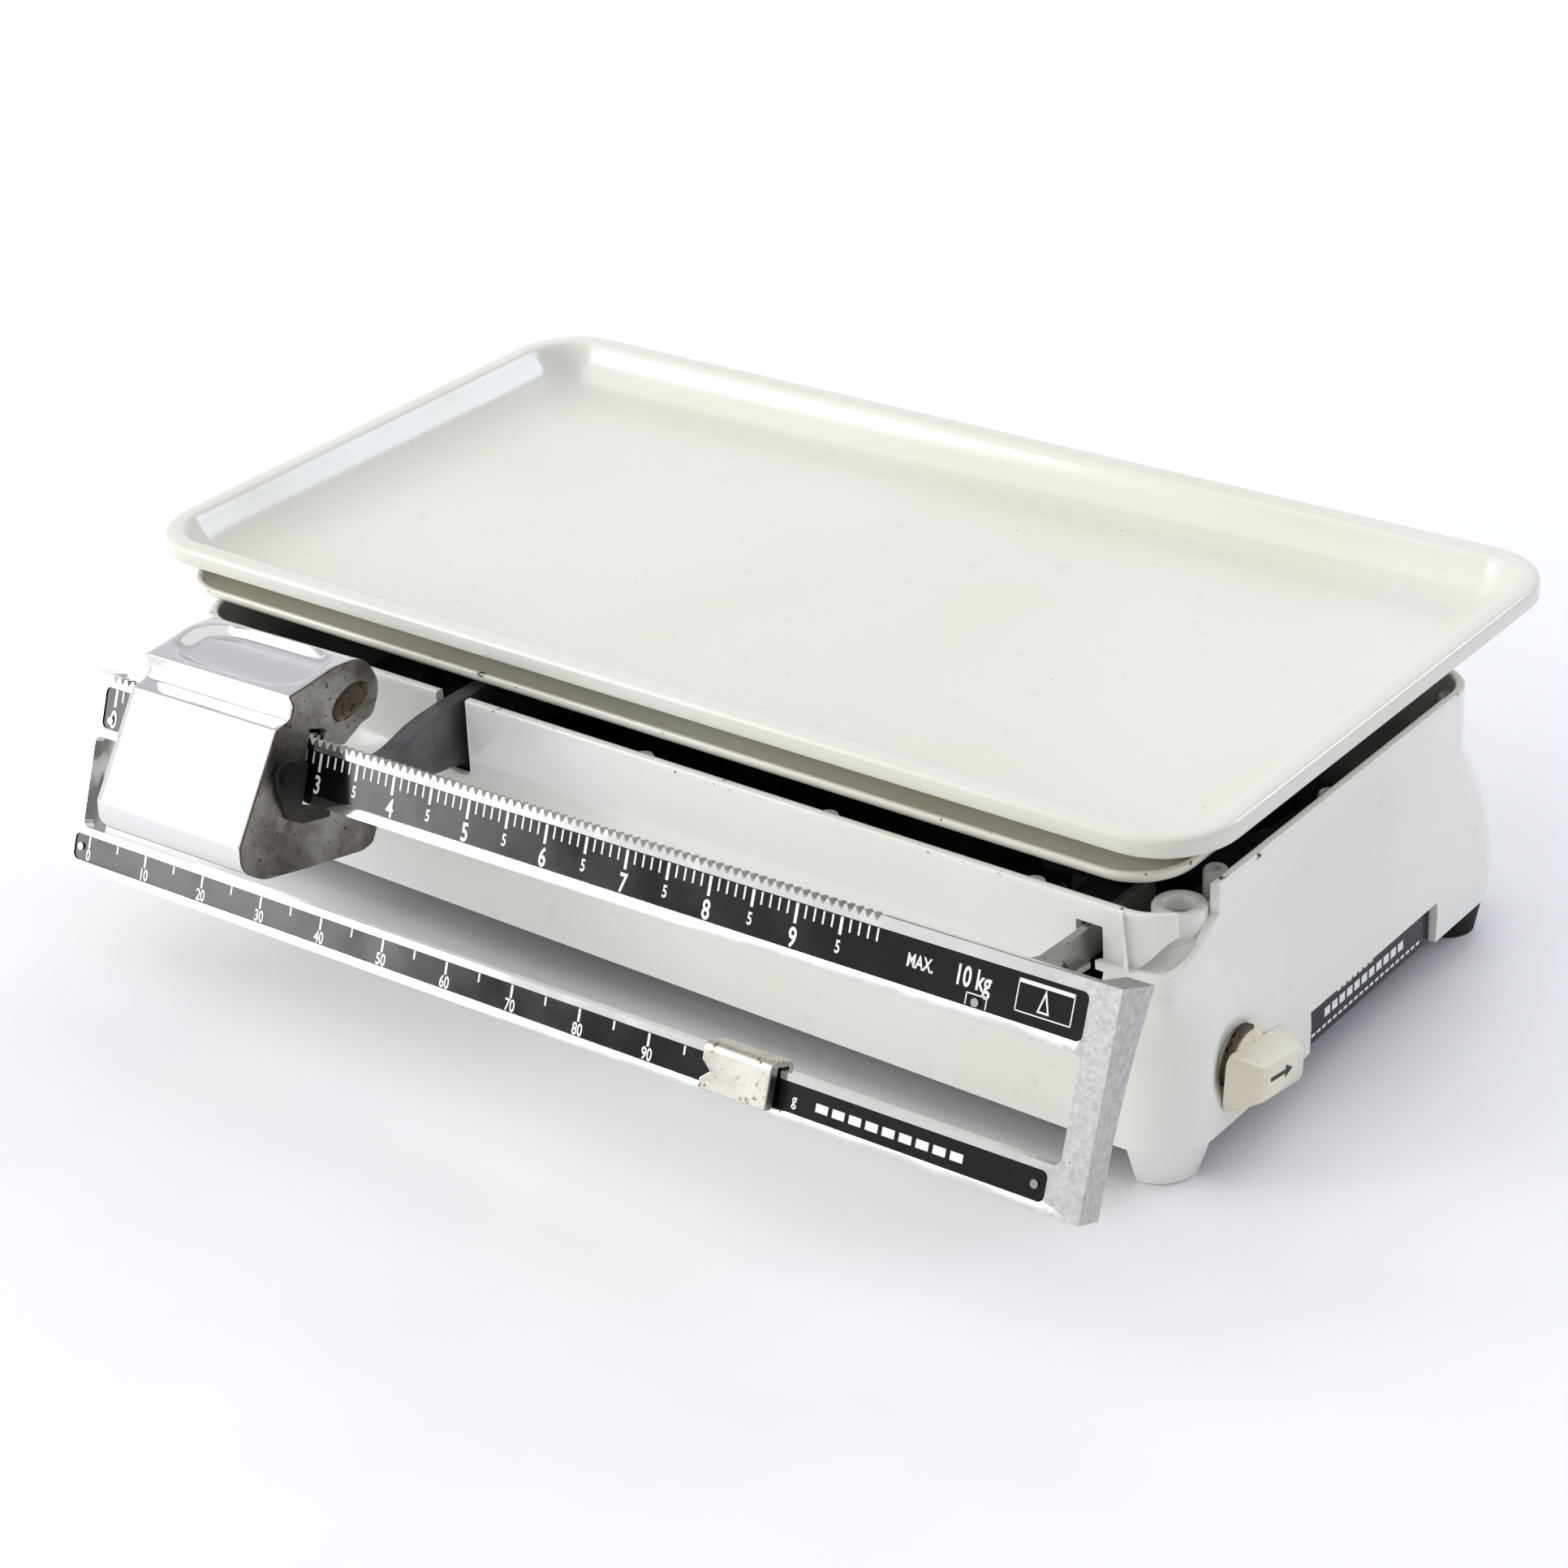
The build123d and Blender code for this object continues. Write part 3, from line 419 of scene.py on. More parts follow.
def mouldedRubber():
    # black moulded rubber: matte with dusty bloom
    material, tree, surface, place = newMaterial("moulded_black_rubber", "black_rubber")
    bloom = ramp(tree, noise(tree, place, 5, 4), [(0.4, toLinear("#151515")), (0.8, toLinear("#2B2B2A"))])
    relief = bumpOf(tree, noise(tree, place, 0.9, 2), 0.3, 0.05)
    connect(tree, surface, Base_Color=bloom, Roughness=0.8, Normal=relief)
    return material


blackRubber = mouldedRubber()
print("materials ready")

slotMaterial = {
    "white_lacquer": whiteLacquer, "cream_enamel": creamEnamel, "chromed_casting": chromePlate,
    "black_enamel": blackEnamel, "nickel_plate": wornNickel, "dark_casting": castGrey,
    "zinc_plate": zincSheet, "bright_steel": groundSteel, "dark_steel": dippedSteel,
    "ivory_plastic": ivoryPlastic, "navy_plate": navyEnamel, "black_rubber": blackRubber,
}
for entry in frame["record"]["subparts"]:
    node = frame["nodes"][entry["node"]]
    if node.material_slots:
        for place in node.material_slots:
            place.material = slotMaterial[entry["material_slot"]]
    else:
        node.data.materials.append(slotMaterial[entry["material_slot"]])


# beam: shapes are given as (along, up, out) on its sloping face
beam = {"lean": 23.4, "rise": 1.437, "start": (-145.7, -98.1, 75.0), "markOut": -0.34}
lean, rise = radians(beam["lean"]), radians(beam["rise"])
alongAxis = np.array([np.cos(rise), 0, np.sin(rise)])
outAxis = np.array([-np.sin(rise) * np.sin(lean), -np.cos(lean), np.cos(rise) * np.sin(lean)])
upAxis = np.cross(outAxis, alongAxis)


def onBeam(along, up, out):
    along, up, out = np.broadcast_arrays(along, up, out)
    start = np.array(beam["start"])
    return start + along[..., None] * alongAxis + up[..., None] * upAxis + out[..., None] * outAxis


def onFace(along, up):
    return onBeam(along, up, beam["markOut"])


softCopy("beam_frame", "beam_casting", 0.4, wornChrome, "beam")
softCopy("left_arm", "left_arm_casting", 0.6, castGrey, "beam")
softCopy("right_arm", "right_arm_pressing", 0.25, zincSheet, "beam")
softCopy("rider", "rider_clip", 0.3, wornNickel, "rider")
softCopy("pawl_plate", "poise_end_plate", 0.25, dippedSteel, "poise")

marks = {
    "upper": {"zero": 10.7, "pitch": 25.0, "top": -3.1, "kgTick": 4.7, "halfTick": 4.1, "tick": 3.0},
    "lower": {"zero": 8.5, "pitch": 21.365, "top": -42.9, "tick": 3.2, "shortTick": 2.2},
}


def textMesh(text, height, narrow):
    # outline letters made flat mesh: returned as points (x, y) with the text centred, and faces
    curve = bpy.data.curves.new("letters", "FONT")
    curve.body = text
    curve.align_x = "CENTER"
    curve.resolution_u = 4
    curve.offset = 0.022
    letters = bpy.data.objects.new("letters", curve)
    bpy.context.scene.collection.objects.link(letters)
    bpy.context.view_layer.update()
    mesh = bpy.data.meshes.new_from_object(letters.evaluated_get(bpy.context.evaluated_depsgraph_get()))
    points = np.empty(len(mesh.vertices) * 3)
    mesh.vertices.foreach_get("co", points)
    points = points.reshape(-1, 3)[:, :2]
    faces = [list(face.vertices) for face in mesh.polygons]
    bpy.data.objects.remove(letters)
    bpy.data.meshes.remove(mesh)
    bpy.data.curves.remove(curve)
    scale = height / 0.73
    return points * [scale * narrow, scale], faces


def collectMarks(name, rectangles, words, place, material, body):
    # rectangles are (left, right, low, top); words are (text, middle, baseline, height, narrow)
    points, faces = [], []
    count = 0
    for left, right, low, top in rectangles:
        points.append(np.array([(left, low), (right, low), (right, top), (left, top)]))
        faces.append([count, count + 1, count + 2, count + 3])
        count += 4
    for text, middle, baseline, height, narrow in words:
        spots, shapes = textMesh(text, height, narrow)
        points.append(spots + [middle, baseline])
        faces += [[i + count for i in shape] for shape in shapes]
        count += len(spots)
    flat = np.vstack(points)
    return makePiece(name, place(flat[:, 0], flat[:, 1]), faces, material, body, closed=False)


def beamMarks():
    rectangles, words = [], []
    upper = marks["upper"]
    for step in range(100):
        middle = upper["zero"] + step * upper["pitch"] / 10
        reach = upper["kgTick"] if step % 10 == 0 else upper["halfTick"] if step % 5 == 0 else upper["tick"]
        half = 0.42 if step % 5 == 0 else 0.26
        rectangles.append((middle - half, middle + half, upper["top"] - reach, upper["top"]))
        if step % 10 == 0:
            words.append((str(step // 10), middle, -13.2, 4.7, 0.74))
        elif step % 5 == 0:
            words.append(("5", middle, -11.3, 3.0, 0.74))
    words.append(("MAX.", 270.5, -9.2, 3.1, 0.72))
    words.append(("10 kg", 284.5, -9.6, 4.6, 0.7))
    # balance sign: a frame with a thick top bar round a slim triangle
    rectangles += [(296, 310.5, -5.0, -4.1), (296, 310.5, -11.4, -11.1)]
    rectangles += [(296, 296.3, -11.4, -4.1), (310.2, 310.5, -11.4, -4.1)]
    rectangles += [(283.4, 289.0, -10.9, -10.6), (283.4, 283.7, -13.4, -10.6), (288.7, 289.0, -13.4, -10.6)]
    collectMarks("upper_marks", rectangles, words, onFace, screenInk, "beam")
    triangle = np.array([(301.6, -10.4), (304.8, -10.4), (303.2, -5.0)])
    inner = np.array([(302.15, -9.95), (304.25, -9.95), (303.2, -6.6)])
    corners = onFace(np.r_[triangle[:, 0], inner[:, 0]], np.r_[triangle[:, 1], inner[:, 1]])
    sides = [[0, 1, 4, 3], [1, 2, 5, 4], [2, 0, 3, 5]]
    makePiece("balance_sign", corners, sides, screenInk, "beam", closed=False)
    rectangles, words = [], []
    lower = marks["lower"]
    for step in range(21):
        middle = lower["zero"] + step * lower["pitch"] / 2
        reach = lower["tick"] if step % 2 == 0 else lower["shortTick"]
        half = 0.36 if step % 2 == 0 else 0.28
        rectangles.append((middle - half, middle + half, lower["top"] - reach, lower["top"]))
        if step % 2 == 0:
            words.append((str(step * 5), middle, -49.3, 3.1, 0.76))
    words.append(("g", 244.0, -47.6, 2.8, 0.8))
    rectangles += [(250 + 4.6 * i, 253.4 + 4.6 * i, -47.4, -45.4) for i in range(9)]
    collectMarks("lower_marks", rectangles, words, onFace, screenInk, "beam")


beamMarks()
print("beam done")

# poise: its section (out, up) carried along the beam, with a shallow trough on top
poise = {"start": 29.5, "length": 52.5, "trough": 2.3, "edge": 0.5, "recess": (-11.4, 9.4, 6.8, 3.9)}


def poiseShell():
    outline = [
        (1.0, 2.2, 0.3), (1.0, -17.0, 0.3), (-9.0, -17.2, 1.0), (-26.5, -19.8, 2.5), (-28.8, -22.4, 2.0),
        (-27.9, -27.8, 2.5), (-24.5, -29.8, 3.0), (-4.5, -33.7, 30.0), (9.0, -36.0, 10.0),
        (17.2, -33.8, 6.0), (19.1, -27.6, 2.5), (12.6, 1.8, 1.0), (8.2, 4.6, 2.6), (7.9, 8.0, 2.0),
        (9.9, 10.4, 0.3), (3.5, 13.7, 6.0),
        (-4.0, 17.9, 14.0), (-14.5, 21.0, 8.0), (-21.6, 14.0, 8.0), (-20.6, 5.6, 4.0), (-17.0, 3.6, 2.0),
        (-11.9, -1.9, 0.4), (-3.8, -1.9, 0.3), (-3.8, 2.2, 0.3),
    ]
    line = filletLine(outline, 8)
    # divide long runs so that the trough has points to bend
    dense = []
    for first, second in zip(line, np.roll(line, -1, axis=0)):
        pieces = max(1, int(np.linalg.norm(second - first) / 0.7))
        dense.append(first + (second - first) * np.linspace(0, 1, pieces, endpoint=False)[:, None])
    line = np.vstack(dense)
    tangent = np.roll(line, -1, axis=0) - np.roll(line, 1, axis=0)
    normal = np.stack([-tangent[:, 1], tangent[:, 0]], axis=1)
    normal /= np.linalg.norm(normal, axis=1)[:, None] + 1e-9
    edge = poise["edge"]
    along = np.r_[0, 0.15, 0.4, edge, np.linspace(2, poise["length"] - 2, 60)]
    along = np.r_[along, poise["length"] - np.array([edge, 0.4, 0.15, 0])]
    pull = np.r_[edge, 0.35, 0.1, 0, np.zeros(60), 0, 0.1, 0.35, edge]
    alongGrid, out = np.meshgrid(along, line[:, 0], indexing="ij")
    up = np.meshgrid(along, line[:, 1], indexing="ij")[1]
    # trough: oval in plan, its depth falling off towards the rim of the oval
    across = (out + 1.5) / 9.6
    reach = (alongGrid - poise["length"] / 2) / 24.0
    oval = np.clip(1 - (np.abs(across) ** 2.6 + np.abs(reach) ** 5.0), 0, 1)
    top = up > 9.6
    depth = np.where(top, poise["trough"] * smoothStep(oval * 1.6), 0)
    sign = 1 if (normal[np.argmax(line[:, 1])][1] > 0) else -1
    shrink = depth + pull[:, None] * 0.5
    out = out - sign * normal[None, :, 0] * shrink
    up = up - sign * normal[None, :, 1] * shrink
    points = onBeam(poise["start"] + alongGrid, up, out)
    rows, around = points.shape[:2]
    faces = gridQuads(rows, around, closeColumns=True).tolist()
    # right end: flat face with an oval recess let into it
    middleOut, middleUp, halfLong, halfShort = poise["recess"]
    turn = np.linspace(0, 2 * np.pi, 32, endpoint=False)
    ovalOut = -0.777 * halfLong * np.cos(turn) + 0.629 * halfShort * np.sin(turn)
    ovalUp = 0.629 * halfLong * np.cos(turn) + 0.777 * halfShort * np.sin(turn)
    end = poise["start"] + poise["length"]
    rings = [(1.0, 0.0), (0.93, 0.35), (0.8, 0.75), (0.5, 1.0)]
    ovals = [
        onBeam(np.full(32, end - sink), middleUp + ovalUp * share, middleOut + ovalOut * share)
        for share, sink in rings
    ]
    lastOut, lastUp = out[-1], up[-1]
    loops = [
        [Vector((a, b, 0)) for a, b in zip(lastOut, lastUp)],
        [Vector((a, b, 0)) for a, b in zip(middleOut + ovalOut, middleUp + ovalUp)],
    ]
    triangles = np.array(tessellate_polygon(loops)) + (rows - 1) * around
    size = rows * around
    recess = gridQuads(4, 32, closeColumns=True) + size
    bottom = list(range(size + 96, size + 128))
    faces += [list(range(around))] + triangles.tolist() + recess.tolist() + [bottom]
    points = np.vstack([points.reshape(-1, 3)] + ovals)
    shell = makePiece(
        "poise_shell", points, faces, chromePlate, "poise", ("poise_body",), 32, closed=False,
    )
    turnOutwards(shell)
    shell.data.set_sharp_from_angle(angle=radians(32))
    shell.data.materials.append(groundFace)
    shell.data.materials.append(rustedRecess)
    along = np.array([onBeamAlong(face.center) for face in shell.data.polygons])
    flat = np.array([abs(face.normal @ Vector(alongAxis)) for face in shell.data.polygons])
    for face, spot, level in zip(shell.data.polygons, along, flat):
        if level > 0.9:
            face.material_index = 1
        if end - 1.1 < spot < end - 0.05 and level > 0.2 and len(face.vertices) != 3:
            face.material_index = 2
    return shell


def onBeamAlong(point):
    # distance in mm along the beam of a point in metres
    return (np.array(point) * 1000 - beam["start"]) @ alongAxis


poiseShell()
print("poise done")

# tray and the pan that carries it
tray = {"length": 340.0, "depth": 176.6, "radius": 20.0, "centre": (-7.0, 36.8)}
trayProfile = [
    (27.0, 74.3), (22.0, 74.3), (17.0, 74.35), (15.6, 74.9), (14.2, 76.0), (11.4, 77.3), (8.8, 78.6),
    (7.3, 80.3), (6.6, 83.0), (6.2, 86.4), (5.4, 87.0), (2.1, 87.0), (1.5, 86.4), (1.3, 84.0),
    (1.0, 83.5), (0.4, 83.5), (0.08, 83.9), (0.0, 87.1), (0.3, 87.9), (0.9, 88.35), (1.6, 88.5),
    (4.5, 88.5), (5.2, 88.3), (5.7, 87.8), (6.6, 86.2), (8.2, 83.3), (10.0, 80.9), (12.2, 78.8),
    (15.0, 77.1), (18.2, 76.1), (22.0, 75.75), (27.0, 75.7),
]
points, faces = ringShell(trayProfile, tray["length"], tray["depth"], tray["radius"], tray["centre"], 7.0)
makePiece("tray_pressing", points, faces, creamEnamel, "tray", ("tray",), 50)

pan = {"length": 320.0, "depth": 171.6, "radius": 16.0}
panProfile = [
    (16.0, 72.4), (4.6, 72.4), (2.6, 72.7), (1.1, 73.6), (0.3, 74.8), (0.0, 76.0), (0.15, 76.45),
    (0.5, 76.6), (1.2, 76.6), (1.6, 76.2), (2.1, 75.0), (3.2, 74.0), (5.2, 73.6), (16.0, 73.6),
]
points, faces = ringShell(panProfile, pan["length"], pan["depth"], pan["radius"], tray["centre"])
makePiece("pan_pressing", points, faces, carrierEnamel, "carrier", ("carrier_pan",), 50)
print("tray and pan done")

# housing: one wall carried round a rounded rectangle, its top edge cut down at the openings
house = {
    "left": -155.0, "right": 158.5, "front": -54.5, "rear": 89.5, "top": 71.0, "corner": 12.0, "wall": 2.5,
    "notch": (-63.5, -53.5, 49.7), "notchRound": 2.2, "window": (133.9, 141.1, 41.3, 65.3),
    "label": (-3.5, 57.0, 23.5), "lock": (-31.0, 25.0), "lip": 148.5, "mouth": -33.0, "boss": (150.0, -36.5),
}
skirtHeights = np.array([12.0, 20.0, 30.0, 40.0, 48.0, 52.0, 53.5])
skirtGrow = np.array([6.2, 6.6, 6.1, 4.4, 2.0, 0.6, 0.0])
fineHeights = np.arange(6, 76, 0.25)
fineGrow = np.convolve(np.interp(fineHeights, skirtHeights, skirtGrow), np.ones(9) / 9, "same")
fineGrow[:10], fineGrow[-10:] = fineGrow[10], 0


def wallPlan(cornerSteps=16):
    # perimeter columns: (x, y) at zero growth, and how each column shifts per mm of growth in x and y
    corner = house["corner"]
    notchLeft, notchRight, _ = house["notch"]
    windowLeft, windowRight, _, _ = house["window"]
    labelFront, labelRear, _ = house["label"]
    rounding = house["notchRound"] * (1 - np.cos(np.linspace(0, np.pi / 2, 7)))
    frontX = np.r_[
        np.linspace(house["left"] + corner + 4, notchLeft - 3, 9),
        notchLeft - 1.2, notchLeft - 0.5, notchLeft - 0.02, notchLeft + rounding,
        np.linspace(notchLeft + 3.2, notchRight - 3.2, 4),
        notchRight - rounding[::-1], notchRight + 0.02, notchRight + 0.5, notchRight + 1.2,
        np.linspace(notchRight + 4, windowLeft - 3, 17), windowLeft, windowRight, house["lip"] - 3,
    ]
    rightY = np.r_[
        np.linspace(-41.5, -33.2, 18), np.linspace(-32.95, -14, 27), -9,
        labelFront, np.linspace(5, 50, 8), labelRear, 66, 72,
    ]
    rearX = np.linspace(house["right"] - corner - 4, house["left"] + corner + 4, 20)
    leftY = np.linspace(house["rear"] - corner - 4, house["front"] + corner + 4, 12)
    plan = [np.column_stack([frontX, np.full(len(frontX), house["front"]), 0 * frontX, 0 * frontX - 1])]
    angle = np.linspace(0, np.pi / 2, cornerSteps + 1)

    def arc(centreX, centreY, start):
        c, s = np.cos(start + angle), np.sin(start + angle)
        # the arc's centre moves half the growth outwards and its radius takes the other half
        shiftX = 0.5 * np.sign(centreX) + 0.5 * c
        shiftY = 0.5 * np.sign(centreY - 17) + 0.5 * s
        return np.column_stack([centreX + corner * c, centreY + corner * s, shiftX, shiftY])

    right, left = house["right"] - corner, house["left"] + corner
    front, rear = house["front"] + corner, house["rear"] - corner
    plan.append(arc(right, front, -np.pi / 2))
    plan.append(np.column_stack([np.full(len(rightY), house["right"]), rightY, 0 * rightY + 1, 0 * rightY]))
    plan.append(arc(right, rear, 0))
    plan.append(np.column_stack([rearX, np.full(len(rearX), house["rear"]), 0 * rearX, 0 * rearX + 1]))
    plan.append(arc(left, rear, np.pi / 2))
    plan.append(np.column_stack([np.full(len(leftY), house["left"]), leftY, 0 * leftY - 1, 0 * leftY]))
    plan.append(arc(left, front, np.pi))
    return np.vstack(plan)


def wallTop(plan):
    # height of the top edge at each column
    x, y = plan[:, 0], plan[:, 1]
    top = np.full(len(plan), house["top"])
    left, right, floor = house["notch"]
    isFront = y < house["front"] + 0.01
    inside = isFront & (x > left - 0.01) & (x < right + 0.01)
    corner = house["notchRound"]
    side = np.clip(corner - np.minimum(x - left, right - x), 0, corner)
    top = np.where(inside, floor + corner - np.sqrt(np.maximum(corner**2 - side**2, 0)), top)
    isOpen = (x > house["lip"]) & (y < house["mouth"]) & (x > 100)
    return np.where(isOpen, rampHeight(x, y), top)


def rampHeight(x, y):
    # the shelf of the open corner climbs as it turns round the ring boss
    bossX, bossY = house["boss"]
    turn = np.degrees(np.arctan2(y - bossY, x - bossX))
    return 57.0 + 7.5 * smoothStep((turn + 96) / 158)


def ledgeShift(plan):
    # under the open corner the wall stands out into a squarer ledge
    x, y = plan[:, 0], plan[:, 1]
    centreX, centreY = house["right"] - house["corner"], house["front"] + house["corner"]
    away = np.column_stack([x - centreX, y - centreY])
    distance = np.linalg.norm(away, axis=1)[:, None] + 1e-9
    aim = away / distance
    square = ((np.abs(aim[:, :1]) / 12.9) ** 6 + (np.abs(aim[:, 1:]) / 13.9) ** 6) ** (-1 / 6)
    shift = aim * (square - house["corner"])
    onCorner = (x > centreX) & (y < centreY)
    shift = np.where(onCorner[:, None], shift, 0)
    alongFront = (x <= centreX) & (x > 100) & (y < house["front"] + 0.01)
    shift[alongFront] = [0, -1.9]
    alongRight = (x > house["right"] - 0.01) & (y >= centreY) & (y < 0)
    shift[alongRight] = [0.9, 0]
    share = np.where(x > 100, smoothStep((x - 143) / 5) * (1 - smoothStep((y + 42.5) / 8)), 0)
    return shift * share[:, None]


def housingShell():
    plan = wallPlan()
    top = wallTop(plan)
    windowLeft, windowRight, windowLow, windowHigh = house["window"]
    labelFront, labelRear, labelTop = house["label"]
    heights = np.r_[
        12.0, 12.5, 14, 16, 18, 20, 22, labelTop, 25, 27, 29, 31, 33, 35, 37, 39, windowLow, 43, 45, 47,
        48.5, 50, 51, 52, 53, 54, 55.5, 58, 61, windowHigh, 67.5, 69.4,
    ]
    z = np.minimum(heights[:, None], (top - 0.8)[None, :])

    ledge = ledgeShift(plan)

    def layer(z, inset):
        grow = np.interp(z, fineHeights, fineGrow)
        share = np.where(z < 57.3, smoothStep((z - 37) / 15), np.where(ledge[:, 0] > 0.05, 1, 0))
        x = plan[:, 0] + plan[:, 2] * grow + ledge[:, 0] * share
        y = plan[:, 1] + plan[:, 3] * grow + ledge[:, 1] * share
        unit = plan[:, 2:4] / np.linalg.norm(plan[:, 2:4], axis=1)[:, None]
        return np.stack([x - unit[:, 0] * inset, y - unit[:, 1] * inset, z + 0 * x], axis=-1)

    outer = layer(z, 0)
    # dished finger recess beside the lock
    lockY, lockZ = house["lock"]
    onRight = plan[:, 2] > 0.99
    away = np.hypot(outer[..., 1] - (lockY - 3.5), (outer[..., 2] - lockZ - 1.5)) / 13.0
    outer[..., 0] -= np.where(onRight[None, :], 3.6 * smoothStep(1.25 * (1 - away)), 0)
    rimSteps = [(0.0, -0.45), (0.25, -0.12), (0.7, 0.0), (1.8, 0.0), (2.25, -0.12), (2.5, -0.45)]
    rim = np.array([layer(top + drop, inset) for inset, drop in rimSteps])
    inner = layer(z, house["wall"])[::-1]
    inner[..., 0] -= np.where(onRight[None, :], 1.2 * smoothStep(1.25 * (1 - away[::-1])), 0)
    points = np.concatenate([outer, rim, inner])
    rows, around = points.shape[:2]
    index = np.arange(rows * around).reshape(rows, around)
    levels = len(heights)
    column = np.arange(around)
    nextColumn = np.roll(column, -1)
    x, y = plan[:, 0], plan[:, 1]
    cells = np.ones((rows, around), bool)
    windowColumns = (y < house["front"] + 0.01) & (x > windowLeft - 0.01) & (x < windowRight - 0.01)
    labelColumns = onRight & (y > labelFront - 0.01) & (y < labelRear - 0.01)
    windowRows = (heights >= windowLow) & (heights < windowHigh)
    labelRows = heights < labelTop
    for columns, levelsOpen in ((windowColumns, windowRows), (labelColumns, labelRows)):
        outerRows = np.where(levelsOpen)[0]
        innerRows = rows - 2 - outerRows
        cells[np.ix_(outerRows, np.where(columns)[0])] = False
        cells[np.ix_(innerRows, np.where(columns)[0])] = False
    cells[rows - 1, labelColumns] = False
    nextRow = np.roll(np.arange(rows), -1)
    r, c = np.where(cells)
    below, beside = nextRow[r], nextColumn[c]
    faces = np.stack([index[r, c], index[r, beside], index[below, beside], index[below, c]], -1).tolist()
    mirrorRow = rows - 1 - np.arange(levels)
    for columns, levelsOpen in ((windowColumns, windowRows), (labelColumns, labelRows)):
        used = np.where(columns)[0]
        first, last = used[0], nextColumn[used[-1]]
        openLevels = np.where(levelsOpen)[0]
        for level in openLevels:
            for side in (first, last):
                faces.append([
                    index[level, side], index[mirrorRow[level], side],
                    index[mirrorRow[level + 1], side], index[level + 1, side],
                ])
        ends = [openLevels[-1] + 1] if levelsOpen[0] else [openLevels[0], openLevels[-1] + 1]
        for level in ends:
            back = mirrorRow[level]
            for here in used:
                there = nextColumn[here]
                faces.append([
                    index[level, here], index[level, there], index[back, there], index[back, here],
                ])
    shell = makePiece("housing_shell", points, faces, whiteLacquer, "base", ("housing",), 40, closed=False)
    turnOutwards(shell)
    shell.data.set_sharp_from_angle(angle=radians(40))
    return shell


housingShell()


def cornerLip():
    # the front wall curls round the corner and ends in a point: its lower edge rises towards the tip
    corner = house["corner"]
    centreX, centreY = house["right"] - corner, house["front"] + corner
    straight = np.column_stack([np.linspace(house["lip"] - 3, centreX, 4), np.full(4, house["front"])])
    angle = np.linspace(-np.pi / 2, radians(-27), 22)[1:]
    curve = np.column_stack([centreX + corner * np.cos(angle), centreY + corner * np.sin(angle)])
    path = np.vstack([straight, curve])
    run = np.linspace(0, 1, len(path))
    low = 55.8 + 8.5 * smoothStep((run - 0.15) / 0.85) ** 1.1
    high = house["top"] - 0.6 * run**6
    unit = path - [centreX, centreY]
    unit[:4] = [0, -1]
    unit /= np.linalg.norm(unit, axis=1)[:, None]
    section = [
        (0.0, 0.0), (0.0, 0.35), (0.0, 0.7), (0.0, 0.95), (0.25, 0.985), (0.7, 1.0),
        (1.8, 1.0), (2.25, 0.985), (2.5, 0.95), (2.5, 0.5), (2.5, 0.0),
    ]
    proud = 0.03  # the lip stands this far out of the wall, so that the two faces never coincide
    thick = np.clip(1.25 - run, 0.12, 1) ** 0.5
    rows = []
    for inset, part in section:
        z = low + (high - low) * part
        spot = path - unit * (inset * np.minimum(1, thick) - proud)[:, None]
        rows.append(np.column_stack([spot, z]))
    points = np.array(rows)
    count, across = points.shape[:2]
    index = np.arange(count * across).reshape(count, across)
    faces = gridQuads(count, across, closeRows=True).tolist()
    faces += [index[:, 0].tolist(), index[:, -1].tolist()]
    makePiece("corner_lip", points, faces, whiteLacquer, "base", sharp=40)


def cornerRamp():
    # shelf inside the open corner: it climbs round the ring boss from the front edge, as a spiral
    bossX, bossY = house["boss"]
    angle = np.linspace(radians(-118), radians(62), 60)
    part = np.linspace(0, 1, 20)
    a, p = np.meshgrid(angle, part, indexing="ij")
    innerRadius = 6.0
    dirX, dirY = np.cos(a), np.sin(a)
    reachX = (house["right"] - 0.3 - bossX) / np.maximum(dirX, 0.02)
    reachY = (bossY - house["front"] + 1.3) / np.maximum(-dirY, 0.02)
    outerRadius = np.minimum((reachX ** -8.0 + reachY ** -8.0) ** (-1 / 8.0), 24)
    radius = innerRadius + (outerRadius - innerRadius) * p
    turned = rampHeight(bossX + radius * dirX, bossY + radius * dirY)
    z = turned - 0.12 - 1.5 * np.sin(np.pi * np.clip(p * 1.12, 0, 1))
    top = np.stack([bossX + radius * dirX, bossY + radius * dirY, z], axis=-1)
    bottom = top.copy()
    bottom[..., 2] -= 2.4
    rows, columns = top.shape[:2]
    points = np.concatenate([top.reshape(-1, 3), bottom.reshape(-1, 3)])
    quads = gridQuads(rows, columns)
    size = rows * columns
    faces = quads.tolist() + (quads[:, ::-1] + size).tolist()
    index = np.arange(size).reshape(rows, columns)
    border = np.r_[index[0, :-1], index[:-1, -1], index[-1, :0:-1], index[:0:-1, 0]]
    following = np.roll(border, -1)
    faces += np.stack([border, border + size, following + size, following], -1).tolist()
    makePiece("corner_ramp", points, faces, whiteLacquer, "base", sharp=50)
    ring = [
        (3.6, 55.0), (3.6, 64.9), (3.9, 65.35), (4.5, 65.5),
        (5.6, 65.5), (6.2, 65.3), (6.5, 64.8), (6.5, 54.0),
    ]
    points, faces = lathe(ring, (bossX, bossY, 0), around=48)
    faces = faces[:-2]
    index = np.arange(len(ring) * 48).reshape(len(ring), 48)
    closing = np.stack([index[-1], np.roll(index[-1], -1), np.roll(index[0], -1), index[0]], -1)
    makePiece("ring_boss", points, faces + closing.tolist(), whiteLacquer, "base", sharp=45)


cornerLip()
cornerRamp()


